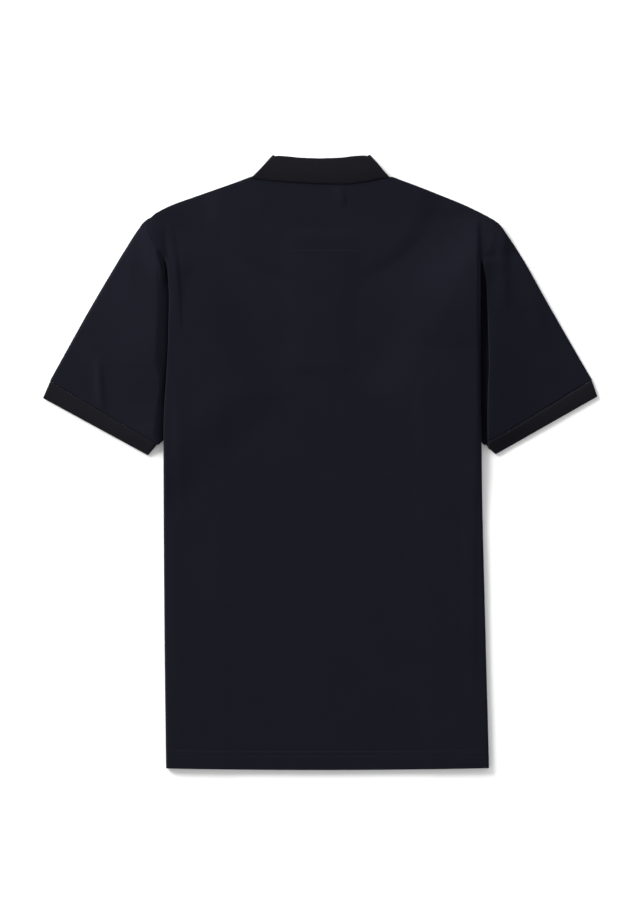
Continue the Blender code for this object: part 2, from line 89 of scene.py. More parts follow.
def curve_through(source, key, column):
    """A smooth function through a table's rows, with no overshoot between them."""
    xs, ys = source[key], source[column]
    steps = [(ys[i + 1] - ys[i]) / (xs[i + 1] - xs[i]) for i in range(len(xs) - 1)]
    middle = [2 * a * b / (a + b) if a * b > 0 else 0.0 for a, b in zip(steps, steps[1:])]
    slopes = [steps[0]] + middle + [steps[-1]]

    def value(x):
        i = min(max(bisect.bisect_right(xs, x) - 1, 0), len(xs) - 2)
        width = xs[i + 1] - xs[i]
        t = min(1.0, max(0.0, (x - xs[i]) / width))
        rest = 1 - t
        level = (1 + 2 * t) * rest * rest * ys[i] + t * t * (3 - 2 * t) * ys[i + 1]
        return level + width * t * rest * (rest * slopes[i] - t * slopes[i + 1])

    return value


def curves(source):
    """The curves through a table's other columns, by its first one."""
    key, *names = source
    return [curve_through(source, key, name) for name in names]


def marks(*stops):
    """Positions from the first stop on, each further stop given with the spacing up to it."""
    found = [stops[0]]
    for end, spacing in stops[1:]:
        start = found[-1]
        count = max(1, math.ceil((end - start) / spacing - 1e-6))
        found += [lerp(start, end, i / count) for i in range(1, count + 1)]
    return found


print("marks to 1 and on to 2:", marks(0.0, (1.0, 0.5), (2.0, 0.25)))


# %% [markdown]
# ## Camera, floor and light
# The camera looks straight down. A long lens from far away keeps the outline true, as a studio
# camera on a boom does. The frame is 924 pixels high, and each of them takes in 1.2203 mm.

# %% Camera
PIXEL = 0.0012203
FRAME_HEIGHT = 924
LENS = 150.0
SENSOR = 36.0
CAMERA_X, CAMERA_Y = -0.00018, 0.00012


def add_object(name, data, place=(0.0, 0.0, 0.0)):
    """Puts a mesh, a light or a camera into the scene."""
    made = bpy.data.objects.new(name, data)
    made.location = place
    bpy.context.scene.collection.objects.link(made)
    return made


camera_data = bpy.data.cameras.new("camera")
camera_data.lens = LENS
camera_data.sensor_width = SENSOR
camera_data.clip_end = 50.0
camera_z = PIXEL * FRAME_HEIGHT * LENS / SENSOR
bpy.context.scene.camera = add_object("camera", camera_data, (CAMERA_X, CAMERA_Y, camera_z))
print("camera height, m:", round(camera_z, 2))

# %% [markdown]
# A material is a tree of nodes. These short calls set a node's inputs, add a node and do sums, and
# one turns a finished bmesh into a mesh.


# %% Short calls for nodes
def fill(node, inputs):
    """Sets a node's inputs, each to a value or to a link from another node's output."""
    for name, value in inputs.items():
        if isinstance(value, bpy.types.NodeSocket):
            node.id_data.links.new(value, node.inputs[name])
        else:
            node.inputs[name].default_value = value


def add_node(tree, kind, inputs=None, out=0, **settings):
    """Adds a node to a tree and gives one of its outputs."""
    node = tree.nodes.new("ShaderNode" + kind)
    for name, value in settings.items():
        setattr(node, name, value)
    fill(node, inputs or {})
    return node.outputs[out]


def new_material(name, inputs):
    """A material, with calls that add a node to it, do a sum in it and set its shader's inputs."""
    made = bpy.data.materials.new(name)
    made.use_nodes = True
    add = partial(add_node, made.node_tree)
    shade = partial(fill, made.node_tree.nodes["Principled BSDF"])
    shade(inputs)
    return made, add, lambda sort, *parts: add("Math", dict(enumerate(parts)), operation=sort), shade


def mesh_of(name, work):
    """The mesh of a finished bmesh."""
    mesh = bpy.data.meshes.new(name)
    work.to_mesh(mesh)
    work.free()
    return mesh


# %% [markdown]
# The floor is a plain white sheet. One large round light stands at the upper left, low enough to
# throw the folds into relief. A pale sky fills its shadows like a light tent does: bright all
# round and dimmer straight above, where the camera looks in. The plain view transform keeps the
# cloth's colours as the materials state them.

# %% Floor and lights
FLOOR_SIZE = 12.0
FLOOR_DROP = 0.0001
FLOOR_COLOUR = (0.745, 0.745, 0.745, 1.0)
SKY_COLOUR = (1.0, 1.0, 1.0, 1.0)
SKY_ROUND = 1.85
SKY_ABOVE = 0.25
SKY_DIMS_FROM = 0.25
KEY_STRENGTH = 702.0
KEY_SIZE = 3.075
KEY_AWAY = 4.5
KEY_AZIMUTH, KEY_ELEVATION = math.radians(138), math.radians(18)  # from +X towards +Y, and up

floor_work = bmesh.new()
bmesh.ops.create_grid(floor_work, x_segments=1, y_segments=1, size=FLOOR_SIZE / 2)
floor = add_object("floor", mesh_of("floor", floor_work), (0.0, 0.0, -FLOOR_DROP))
floor_looks = {"Base Color": FLOOR_COLOUR, "Roughness": 0.9, "Specular IOR Level": 0.1}
floor.data.materials.append(new_material("floor_white", floor_looks)[0])

world = bpy.data.worlds.new("sky")
world.use_nodes = True
sky = world.node_tree
up = add_node(sky, "SeparateXYZ", {0: add_node(sky, "TexCoord", out="Generated")}, "Z")
dims = {"Value": up, "From Min": SKY_DIMS_FROM, "To Min": SKY_ROUND, "To Max": SKY_ABOVE}
fill(sky.nodes["Background"], {"Color": SKY_COLOUR, "Strength": add_node(sky, "MapRange", dims)})
bpy.context.scene.world = world
bpy.context.scene.view_settings.view_transform = "Standard"

key = bpy.data.lights.new("key", "AREA")
key.shape = "DISK"
key.size = KEY_SIZE
key.energy = KEY_STRENGTH
level_share = math.cos(KEY_ELEVATION)
away = Vector((math.cos(KEY_AZIMUTH) * level_share, math.sin(KEY_AZIMUTH) * level_share, 0.0))
away.z = math.sin(KEY_ELEVATION)
light = add_object("key", key, away * KEY_AWAY)
light.rotation_euler = away.to_track_quat("Z", "Y").to_euler()
print("key light, m:", [round(part, 2) for part in light.location])

# %% [markdown]
# ## Cloth: the pique
# Pique is a knit with a small raised lattice, like a fine honeycomb. Its cell is about a
# millimetre, so it is made in the material: two crossing sine waves give the lattice, a much finer
# one the yarn, and a slow noise the uneven dye. The colour is also painted darker where the lattice
# and the yarn sit low, as painted shade in their hollows. The pattern reads the piece's own cut,
# stored as a UV map in metres, so it follows every sleeve and fold.

# %% Pique material
PIQUE_COLOUR = (0.0035, 0.0034, 0.0069, 1.0)
# Painted shade: the darker colour that the lattice's hollows and the uneven dye mix towards.
PIQUE_SHADE_AND_DYE_DARK = (0.0026, 0.0025, 0.0053, 1.0)
PIQUE_CELL = 0.0013
PIQUE_RELIEF = 0.00022
SHEEN_TINT = (0.55, 0.58, 0.72, 1.0)
YARN_SCALE = 2600.0
DYE_SCALE = 20.0


def cloth(colour, roughness=0.85, sheen=0.032):
    """The shader's inputs for matt cloth."""
    looks = {"Base Color": colour, "Roughness": roughness, "Specular IOR Level": 0.05}
    return looks | {"Sheen Weight": sheen, "Sheen Roughness": 0.5, "Sheen Tint": SHEEN_TINT}


def yarn_grain(add, weave):
    return add("TexNoise", {"Vector": weave, "Scale": YARN_SCALE, "Detail": 2.0})


def blend(add, share, dark, light):
    return add("Mix", {"Factor": share, "A": dark, "B": light}, "Result", data_type="RGBA")


def bump(add, height, depth, strength=0.6):
    return add("Bump", {"Height": height, "Distance": depth, "Strength": strength})


def lattice(add, sum_of, weave):
    """Two diagonal sine waves that cross, from -1 to 1: the knit's raised diamonds."""
    split = add("SeparateXYZ", {"Vector": weave}).node
    u, v = (sum_of("MULTIPLY", part, math.pi / PIQUE_CELL) for part in split.outputs[:2])
    crossing = (sum_of("SINE", sum_of(sort, u, v)) for sort in ("ADD", "SUBTRACT"))
    return sum_of("MULTIPLY", *crossing)


def pique_material():
    made, add, sum_of, shade = new_material("pique", cloth(PIQUE_COLOUR))
    weave = add("UVMap", uv_map="Weave")
    raised = add("MapRange", {"Value": lattice(add, sum_of, weave), "From Min": -1.0, "From Max": 1.0})
    dye = add("TexNoise", {"Vector": weave, "Scale": DYE_SCALE, "Detail": 3.0})
    height = sum_of("MULTIPLY_ADD", yarn_grain(add, weave), 0.35, sum_of("MULTIPLY", raised, 0.55))
    # Painted shade: the colour follows the lattice's and the yarn's height, darker where they sit low,
    # on top of the uneven dye.
    hollow_shade_and_dye = sum_of("MULTIPLY_ADD", dye, 0.9, height)
    share = add("MapRange", {"Value": hollow_shade_and_dye, "From Min": 0.45, "From Max": 1.25})
    tone = blend(add, share, PIQUE_SHADE_AND_DYE_DARK, PIQUE_COLOUR)
    shade({"Base Color": tone, "Normal": bump(add, height, PIQUE_RELIEF, 0.7)})
    return made


pique = pique_material()
print("pique cell, mm:", PIQUE_CELL * 1000)

# %% [markdown]
# ## Cloth: the rib
# The collar and cuffs are flat-knit rib: narrow raised wales that run straight from the seam to the
# edge. One sine wave across the strip makes them, with the yarn's fine grain on top. The same wave
# also paints the furrows between the wales darker, as painted shade.

# %% Rib material
RIB_COLOUR = (0.0037, 0.0036, 0.0056, 1.0)
# Painted shade: the darker colour of the furrows between the wales.
RIB_FURROW_SHADE = (0.0028, 0.0027, 0.0042, 1.0)
RIB_PITCH = 0.0017
RIB_RELIEF = 0.0003


def rib_material():
    made, add, sum_of, shade = new_material("rib", cloth(RIB_COLOUR))
    weave = add("UVMap", uv_map="Weave")
    turn = sum_of("MULTIPLY", add("SeparateXYZ", {"Vector": weave}), 2 * math.pi / RIB_PITCH)
    wales = add("MapRange", {"Value": sum_of("SINE", turn), "From Min": -1.0, "From Max": 1.0})
    height = sum_of("MULTIPLY_ADD", yarn_grain(add, weave), 0.3, wales)
    # Painted shade: the colour is darker in the wales' furrows.
    tone = blend(add, wales, RIB_FURROW_SHADE, RIB_COLOUR)
    shade({"Base Color": tone, "Normal": bump(add, height, RIB_RELIEF)})
    return made


rib = rib_material()
print("rib pitch, mm:", RIB_PITCH * 1000)

# %% [markdown]
# ## Thread and buttons
# The thread is dyed like the cloth, a little smoother and lighter, so a seam reads as a faint line.
# The buttons are dark resin with a soft gloss.

# %% Thread and button materials
THREAD_COLOUR = (0.014, 0.014, 0.021, 1.0)
THREAD_RELIEF = 0.00005
TWIST_SCALE = 900.0
BUTTON_COLOUR = (0.01, 0.01, 0.014, 1.0)
BUTTON_PALE = (0.02, 0.02, 0.027, 1.0)
CLOUD_SCALE = 350.0

thread, add, _, shade = new_material("thread", cloth(THREAD_COLOUR, 0.6, 0.1))
waves = {"Vector": add("TexCoord", out="Object"), "Scale": TWIST_SCALE}
twist = add("TexWave", waves, "Fac", bands_direction="DIAGONAL")
shade({"Normal": bump(add, twist, THREAD_RELIEF)})

resin = {"Base Color": BUTTON_COLOUR, "Roughness": 0.35, "Specular IOR Level": 0.4}
button_resin, add, _, shade = new_material("button", resin)
cloud = add("TexNoise", {"Vector": add("TexCoord", out="Object"), "Scale": CLOUD_SCALE, "Detail": 3.0})
shade({"Base Color": blend(add, cloud, BUTTON_COLOUR, BUTTON_PALE)})
print("materials:", ", ".join(made.name for made in (pique, rib, thread, button_resin)))

# %% [markdown]
# ## The cut and the lay
# The sizes below are those of the solids. The body is 39 cm wide as it lies, because a strip of
# 64 mm is folded under on each side. The layers rest on each other from the floor up: the sleeve
# near the armhole, the back's flap, the front's flap, the front, and the back on top.

# %% Sizes of the body
PIQUE_WALL = 0.0011
RIB_WALL = 0.0012
SEAM_GAP = 0.0003
LAYER = 0.0016  # from the middle of one resting layer to the next
FLOOR_LEVEL = 0.0006
HEM_Y = -0.3754
HEM_RISE = 0.002
CORNER_X = 0.19
HEM_FADE = (0.04, 0.15)
PIT_Y = 0.092
FOLD_TOP_Y = 0.225
FLAP_WIDTH = 0.0635
FOLD_RADIUS = 0.0025
FLAP_RISE = 2 * FOLD_RADIUS - LAYER
SLEEVE_RISE = 2 * LAYER
RAMP = 0.026
BACK_RAMP = 0.06  # the back comes down from what it covers more slowly than the front
SLEEVE_MARGIN = 0.014
HIDDEN_TOP_Y = FOLD_TOP_Y + 0.003  # ends of the sleeve's hidden part
HIDDEN_FOOT_Y = 0.028
ARMHOLE_POWER = 1.6
FOLD_OPENS = (0.232, 0.282)
OPENED_SHARE = 0.38
SAG = 0.78
SAG_RUN = (0.01, 0.12)
SPAN_ENDS = (0.18, 0.29)
SIGN = {"left": -1, "right": 1}

# Half widths of the body from the centre line out to the fold, then up the armhole seam.
BODY_EDGE = table(
    "y left right",
    (-375.4, 188, 206),
    (-200, 190, 201.5),
    (-24, 191, 197.3),
    (40, 190.9, 196.6),
    (100, 187.9, 195.7),
    (130, 186.1, 195.6),
    (170, 184.9, 195.5),
    (200, 184.3, 195.5),
    (225, 185.6, 195.5),
    (240, 187.6, 196.2),
    (250, 192, 201),
    (262, 200, 208.5),
    (275, 206.8, 214.5),
    (289.3, 209.6, 218.2),
    (296.7, 210.1, 219),
)
body_edge = dict(zip(SIGN, curves(BODY_EDGE)))
for side in SIGN:
    print("half width at the hem,", side, "mm:", round(1000 * body_edge[side](HEM_Y)))

# %% Upper edges of the back and the front
NECK_FRONT_Y = 0.267
NECK_POWER = 2.2
NECK_POINT = {"left": (0.0765, 0.3508), "right": (0.08, 0.3478)}
SHOULDER_TIP = {"left": (0.2101, 0.2967), "right": (0.2182, 0.2903)}

# Height of the back's upper edge: the neck seam, then the shoulder line out to its tip.
BACK_TOP = table(
    "x left right",
    (0, 341.2, 341.2),
    (30, 342.8, 341.4),
    (60, 347.2, 344),
    (76.5, 351, 346.4),
    (80, 349.4, 348),
    (87, 347, 347.8),
    (95.4, 343.7, 345),
    (152, 323.8, 323.4),
    (177, 315, 313.1),
    (190.5, 308.9, 306.6),
    (200.3, 303.4, 301.6),
    (210.1, 296.7, 296.1),
    (218.2, 296.7, 290.3),
)
top_line = dict(zip(SIGN, curves(BACK_TOP)))


def back_top(side, x):
    return top_line[side](x)


def front_top(side, x):
    """Height of the front's upper edge: a scooped neckline, then the same shoulder line."""
    neck_x, neck_y = NECK_POINT[side]
    if x >= neck_x:
        return back_top(side, x)
    return NECK_FRONT_Y + (neck_y - NECK_FRONT_Y) * (x / neck_x) ** NECK_POWER


neck_drop = back_top("left", 0.0) - front_top("left", 0.0)
print("front neck below the back one, mm:", round(1000 * neck_drop))

# %% [markdown]
# How high each layer lies is one function of the place: it rises in soft ramps over the flaps, over
# the hidden part of each sleeve, over the collar's leaves and over the placket.

# %% Levels of the front and the back
NECK_RISE = 0.0019
NECK_BACK_RISE = 0.00225
LEAF_CENTRE_Y = 0.345
LEAF_REACH = 0.12
LEAF_RAMP = 0.03
PLACKET_WIDTH = 0.03
PLACKET_FOOT_Y = 0.117
PLACKET_RISE = 0.00285
PLACKET_BACK_RISE = 0.0034
PLACKET_SIDE_RAMP = (0.004, 0.03)
PLACKET_BACK_RAMP = (0.0, 0.085)
PLACKET_FOOT_RAMP = (-0.03, -0.002)
PLACKET_HEAD_RAMP = (0.27, 0.31)


def flap_width(y):
    """How far the folded flap reaches back under the body, cut away by the armhole at its top."""
    share = min(1.0, max(0.0, (FOLD_TOP_Y - y) / (FOLD_TOP_Y - PIT_Y)))
    return FLAP_WIDTH * share**ARMHOLE_POWER


def sleeve_lift(inward, y, ramp=RAMP):
    """1 over the hidden part of the sleeve, 0 a ramp's width beyond it."""
    run, rise, drop = FLAP_WIDTH, HIDDEN_TOP_Y - PIT_Y, PIT_Y - HIDDEN_FOOT_Y
    above = (inward * rise + (y - HIDDEN_TOP_Y) * run) / math.hypot(run, rise)
    below = (inward * drop + (HIDDEN_FOOT_Y - y) * run) / math.hypot(run, drop)
    return 1 - smooth(SLEEVE_MARGIN, SLEEVE_MARGIN + ramp, max(above, below))


def over_flap(y, inward, ramp=RAMP):
    width = flap_width(y)
    return (1 - smooth(*FOLD_OPENS, y)) * (1 - smooth(width, width + ramp, inward))


def placket_lift(x, y, side_ramp=PLACKET_SIDE_RAMP):
    across = 1 - smooth(*side_ramp, abs(x) - PLACKET_WIDTH / 2)
    along = smooth(*PLACKET_FOOT_RAMP, y - PLACKET_FOOT_Y)
    return across * along * (1 - smooth(*PLACKET_HEAD_RAMP, y))


def leaf_lift(x, y):
    distance = math.hypot(x, y - LEAF_CENTRE_Y)
    return 1 - smooth(LEAF_REACH, LEAF_REACH + LEAF_RAMP, distance)


def front_level(x, y, inward):
    """Height of the middle of the front's cloth."""
    lifts = (
        FLAP_RISE * over_flap(y, inward),
        NECK_RISE * leaf_lift(x, y),
        PLACKET_RISE * placket_lift(x, y),
    )
    return FLOOR_LEVEL + max(lifts) + SLEEVE_RISE * sleeve_lift(inward, y)


def back_level(x, y, inward):
    """Height of the middle of the back's cloth, which spans from flap to flap with a slight sag."""
    sag = lerp(1.0, SAG, smooth(*SAG_RUN, inward))
    lifts = (
        FLAP_RISE * sag * (1 - smooth(*SPAN_ENDS, y)),
        FLAP_RISE * over_flap(y, inward, BACK_RAMP),
        NECK_BACK_RISE * leaf_lift(x, y),
        PLACKET_BACK_RISE * placket_lift(x, y, PLACKET_BACK_RAMP),
    )
    return FLOOR_LEVEL + LAYER + max(lifts) + SLEEVE_RISE * sleeve_lift(inward, y, BACK_RAMP)


print("top of the back at its middle, mm:", round(1000 * back_level(0.0, 0.0, 0.19), 1))

# %% [markdown]
# ## Creases
# Pressed cloth still keeps a few soft creases, and they are listed: each row is a line from
# its lower end to its upper one with a bow to the right, a height (below zero for a trough) and a
# width to its left and right. Its ends fade out. The first rows carry the folded sides on towards
# the shoulders, in both layers, and the last ones are the sleeves' own. A slow, low noise keeps the
# rest from being dead flat.

# %% Creases
LINE = "x0 y0 x1 y1 bow height left right"


def lines(*rows):
    """The rows of a table of lines, in metres."""
    return list(zip(*table(LINE, *rows).values()))


CREASES = {
    "both": lines(
        (190.5, -60, 190.5, 300, 0, 1.4, 60, 3),
        (190.8, 140, 191.2, 298, 0, 4.4, 100, 3),
    ),
    "back": lines(
        (42, 302, 24, 335, 3, 0.3, 4, 4),
        (-75, 296, -62, 333, -2, 0.3, 6, 5),
        (146, 250, 112, 329, 4, 0.3, 10, 8),
        (-142, 245, -120, 318, -4, 0.3, 10, 9),
        (-170, -80, -180, 120, 3, 0.5, 6, 11),
        (186, -300, 188, 70, -1, 0.6, 10, 5),
        (-176, -350, -180, -50, 1, 0.4, 8, 9),
        (40, -30, 120, -60, 4, -0.3, 12, 12),
        (-90, -150, 20, -175, -5, 0.2, 14, 12),
    ),
    "front": lines(
        (-55, -160, -70, 70, 6, 0.6, 6, 5),
        (80, -230, 62, 30, -5, 0.5, 5.5, 7),
        (-30, -180, 50, -210, 4, 0.4, 7, 8),
        (60, 10, 25, 100, 4, 0.5, 5, 4),
        (-68, 35, -28, 105, -5, 0.6, 4.5, 6),
    ),
    "sleeve_left": lines(
        (-264, 56, -270, 128, -1.6, 1.5, 5, 4),
        (-208, 248, -212, 283, 0, 0.6, 3, 4),
        (-233, 190, -224, 280, -3, 0.4, 6, 8),
        (-245, 100, -290, 150, -4, 0.3, 8, 8),
    ),
    "sleeve_right": lines(
        (275, 130, 250, 230, 3, 0.4, 9, 7),
        (252, 60, 236, 100, 0, 0.3, 7, 6),
    ),
}
# Steps: the cloth stands higher on the left of the line, falls to it and goes on flat beyond it.
# Their last two columns are the width of the fall and how far the height reaches back.
STEPS = {
    "both": lines(
        (-168, 160, -180, 292, 3.5, 1.2, 5, 12),
    ),
    "back": lines(
        (33, 315.5, 23.2, 337, 2.2, 1.1, 2.6, 8),
    ),
    "sleeve_right": lines(
        (232.5, 185, 229, 300, 0, 1.8, 8.5, 9),
    ),
}
WAVES = {"back": 0.0003, "front": 0.00012}
RIDGE_REACH = 3.0
RIDGE_FADE, STEP_FADE = 0.8, 0.6  # how softly their ends fade out


def ridge(aside, left, right):
    """A soft ridge across its line, with a width of its own on each side."""
    spread = aside / (left if aside < 0 else right)
    return math.exp(-spread * spread) if abs(spread) < RIDGE_REACH else 0.0


def step(aside, fall, back):
    """Nothing from the line on to its right, and full height where the fall ends on its left."""
    rest = max(0.0, 1 + min(0.0, aside) / fall)
    past = max(0.0, -aside - fall) / back
    return (1 - rest * rest) * math.exp(-past * past)


def creases_at(name, x, y):
    """Sum of a piece's own ridges, troughs and steps at a place."""
    total = 0.0
    kinds = ((CREASES[name], ridge, RIDGE_FADE), (STEPS.get(name, ()), step, STEP_FADE))
    for rows, profile, fade in kinds:
        for x0, y0, x1, y1, bow, height, left, right in rows:
            run, rise = x1 - x0, y1 - y0
            length = math.hypot(run, rise)
            along = ((x - x0) * run + (y - y0) * rise) / (length * length)
            if 0.0 < along < 1.0:
                aside = ((x - x0) * rise - (y - y0) * run) / length - bow * 4 * along * (1 - along)
                total += height * profile(aside, left, right) * math.sin(math.pi * along) ** fade
    return total


def wave(x, y, seed):
    """Slow unevenness, from -1 to 1."""
    slow = noise.noise(Vector((x * 9.0, y * 7.0, seed)))
    quick = noise.noise(Vector((x * 27.0, y * 22.0, seed + 5.0)))
    return 1.3 * slow + 0.4 * quick


print("creases on the back:", len(CREASES["back"]))

# %% [markdown]
# ## Sewing lines pull the cloth in
# Beside a seam the cloth dips a little, because the thread holds it down. The hem is turned up and
# held by two rows of stitches, so the band below them stands slightly proud.

# %% Dips along the seams
SEAM_DIP = 0.00035
SEAM_DIP_WIDTH = 0.0022
HEM_STITCH_Y = (HEM_Y + 0.0175, HEM_Y + 0.0225)
HEM_BAND = 0.00022
STITCH_DIP = 0.00028
STITCH_DIP_WIDTH = 0.0011


def stitch_dip(distance):
    spread = distance / STITCH_DIP_WIDTH
    return -STITCH_DIP * math.exp(-spread * spread) if abs(spread) < 3 else 0.0


def seam_dip(distance):
    """Dip of the cloth at this distance from its seam."""
    return -SEAM_DIP * (1 - smooth(0.0, SEAM_DIP_WIDTH, distance))


def hem_relief(y):
    band = HEM_BAND * (1 - smooth(HEM_STITCH_Y[1], HEM_STITCH_Y[1] + 0.0012, y))
    return band + sum(stitch_dip(y - line) for line in HEM_STITCH_Y)


print("hem relief at a row of stitches, mm:", round(1000 * hem_relief(HEM_STITCH_Y[0]), 2))


# %% [markdown]
# ## Crests beside the body
# Each sleeve comes out from under the folded side and stands up in a soft crest beside it, which
# leaves a shaded hollow. Above the fold the left crest runs on over the shoulder of the body itself.

# %% Crests
BODY_CLEARANCE = 0.001
# By height up the sleeve: distance from the body's side to the hollow's foot, from there to the
# crest's rim, the crest's height and the part of it that stands right at the foot.
CREST = {
    "left": table(
        "y foot rim height step",
        (20, 0, 8, 4.2, 0.1),
        (37, 0, 12.5, 5, 0.1),
        (52, 0, 11.5, 4.2, 0.16),
        (68, 0, 10, 4, 0.22),
        (80, 0, 8.4, 4.6, 0.26),
        (90, 0, 8, 5.4, 0.3),
        (102, 0, 9.2, 6.4, 0.32),
        (111, 0, 12, 6.6, 0.32),
        (124, 0, 15.2, 7.3, 0.35),
        (140, 0, 15.2, 7.9, 0.37),
        (165, 0, 15, 8.2, 0.38),
        (180, 0, 14.4, 8, 0.38),
        (200, 0, 14.2, 7.5, 0.38),
        (215, 0, 14.5, 7, 0.4),
        (230, 0.1, 14.2, 6.5, 0.42),
        (242, 0.4, 13.2, 6, 0.4),
        (253, 1.2, 12.5, 5.4, 0.18),
        (264, 2.6, 15, 4.8, 0),
        (276, 3.7, 20, 3.8, 0),
        (286, 4.2, 24, 2, 0),
        (296, 4.6, 26, 0, 0),
        plain="step",
    ),
    "right": table(
        "y foot rim height step",
        (15, 0, 8, 3, 0),
        (39.2, 0, 8, 7.6, 0),
        (88, 0, 9.2, 8.6, 0),
        (118, 0, 10.7, 8.8, 0),
        (149, 0, 10.1, 8.5, 0),
        (198, 0, 8.6, 7.2, 0),
        (220, 0, 7.4, 5.6, 0),
        (241.7, 0, 3.9, 3.2, 0),
        (252, 0, 1, 0, 0),
        plain="step",
    ),
}
CREST_LEAN = {"left": 0.0, "right": 0.0035}
CREST_OVERHANG = 0.0006  # how far the right crest's wall leans over the hollow at its foot
CREST_SPREAD = {"left": 0.05, "right": 0.038}
CREST_SHARED = (0.3, 0.5)
CREST_FADE, CREST_ROUND = 1.3, 1.4  # powers of its far slope and of its near one
LEAN_FADES = 0.008
FOOT_RUN = 0.0009
crest_facts = {side: curves(CREST[side]) for side in SIGN}


def body_gap(side, x, y):
    """How far a place lies outside the body's folded side."""
    return x - body_edge[side](min(y, FOLD_TOP_Y)) - BODY_CLEARANCE


def crest_shape(side, x, y):
    """Rise of the crest at a place, and how far it leans back over the hollow."""
    foot, rim, height, step = (fact(y) for fact in crest_facts[side])
    lean = CREST_LEAN[side]
    out = body_gap(side, x, y) + BODY_CLEARANCE - foot
    start = rim + CREST_OVERHANG if lean else 0.0
    peak = rim + lean
    if out <= start or height <= 0:
        return 0.0, 0.0
    if out >= peak:
        past = out - peak
        slope = math.exp(-((past / CREST_SPREAD[side]) ** CREST_FADE))
        return height * slope, lean * math.exp(-past / LEAN_FADES)
    share = (out - start) / (peak - start)
    if lean:
        profile = smooth(0.0, 1.0, share)
    else:
        profile = lerp(1 - (1 - share) ** CREST_ROUND, 1.0, step) * smooth(0.0, FOOT_RUN, out)
    return height * profile, lean * profile


def armhole_share(side, y):
    """Share of the way up the visible armhole, from the fold's top to the shoulder tip."""
    return (y - FOLD_TOP_Y) / (SHOULDER_TIP[side][1] - FOLD_TOP_Y)


def crest_shared(side, y):
    """How much of the crest runs on over the body: none at the fold, all where it has opened."""
    return smooth(*CREST_SHARED, armhole_share(side, y))


print("left crest, mm:", round(1000 * crest_shape("left", body_edge["left"](0.15) + 0.015, 0.15)[0], 1))

# %% [markdown]
# ## The back and the front
# Each body panel is one grid. Its columns run from the centre line to the fold, round it, and back
# under the body to the side seam, and its rows run from the hem up to the shoulders. The grid's
# points are moved to their places by one function, and a Solidify modifier gives the cloth a wall.

# %% Place of a point on a body panel
SLIT_X = PLACKET_WIDTH / 2 + SEAM_GAP
PRESSED = {"left": 0.28, "right": 1.0}
PRESSED_FROM = (-0.02, 0.03)
PRESSED_SHARE = 0.12
FLAP_BLEND = 0.006
SIDE_SEAM_RUN = 0.003  # the flaps' edges come together over this run
SIDE_SEAM_MEET = 0.0004


def turn_angle(share):
    """How far the side is turned under: half a turn along the fold, next to none at the armhole."""
    return max(1e-3, math.pi * (1 - smooth(0.0, OPENED_SHARE, share)))


def turn_radius(angle):
    return FOLD_RADIUS * max(1.0, math.pi / 2 / angle)


def fold_power(side, y, share):
    """1 for a round fold, less for one that is pressed to a squarer edge, as beside the left sleeve."""
    pressed = smooth(*PRESSED_FROM, y) * (1 - smooth(0.0, PRESSED_SHARE, share))
    return lerp(1.0, PRESSED[side], pressed)


def fold_centre(side, y, angle):
    """Distance from the centre line at which the cloth starts to turn under."""
    turned = min(angle, math.pi / 2)
    reach = turn_radius(angle) * math.sin(turned)
    return body_edge[side](y) - PIQUE_WALL / 2 * math.sin(turned) - reach


def row_facts(panel, side, row):
    """What all points of one row share. A row is its height, or its share of the armhole above."""
    lower_y, share = row
    tip_x, tip_y = SHOULDER_TIP[side]
    angle = turn_angle(share) if share else math.pi
    edge_y = lerp(FOLD_TOP_Y, tip_y, share) if share else lower_y
    centre = fold_centre(side, edge_y, angle)
    back_radius = turn_radius(angle)
    return {
        "share": share,
        "lower_y": lower_y,
        "angle": angle,
        "centre": centre,
        "tip_centre": fold_centre(side, tip_y, turn_angle(1.0)),
        "tip_x": tip_x,
        "back_radius": back_radius,
        "radius": back_radius if panel == "back" else back_radius - LAYER,
        "flap": flap_width(edge_y) if not share else 0.0,
        "power": fold_power(side, edge_y, share),
    }


def panel_top(panel, side, x):
    return back_top(side, x) if panel == "back" else front_top(side, x)


def row_y(panel, side, facts, x, top_x):
    """Height of a row at a place across: straight up to the fold's top, then towards the edge."""
    if facts["share"]:
        return lerp(FOLD_TOP_Y, panel_top(panel, side, top_x), facts["share"])
    lower_y = facts["lower_y"]
    fade = 1 - smooth(*HEM_FADE, lower_y - HEM_Y)
    return lower_y + HEM_RISE * (x / CORNER_X) ** 2 * fade


def shape_relief(panel, side, x, y, top_gap):
    """Creases, waves and dips of a panel: what it stands above or below its plain level."""
    signed = SIGN[side] * x
    relief = creases_at(panel, signed, y)
    relief += WAVES[panel] * wave(signed, y, 3.0 if panel == "back" else 11.0) + hem_relief(y)
    dip = seam_dip(top_gap)
    relief = max(relief, 0.0) - dip if panel == "front" else relief + dip
    return relief + creases_at("both", signed, y)


def full_relief(panel, side, x, y, top_gap):
    """The relief with the crest, where that runs on over the body."""
    crest = crest_shared(side, y) * crest_shape(side, x, y)[0]
    return shape_relief(panel, side, x, y, top_gap) + crest


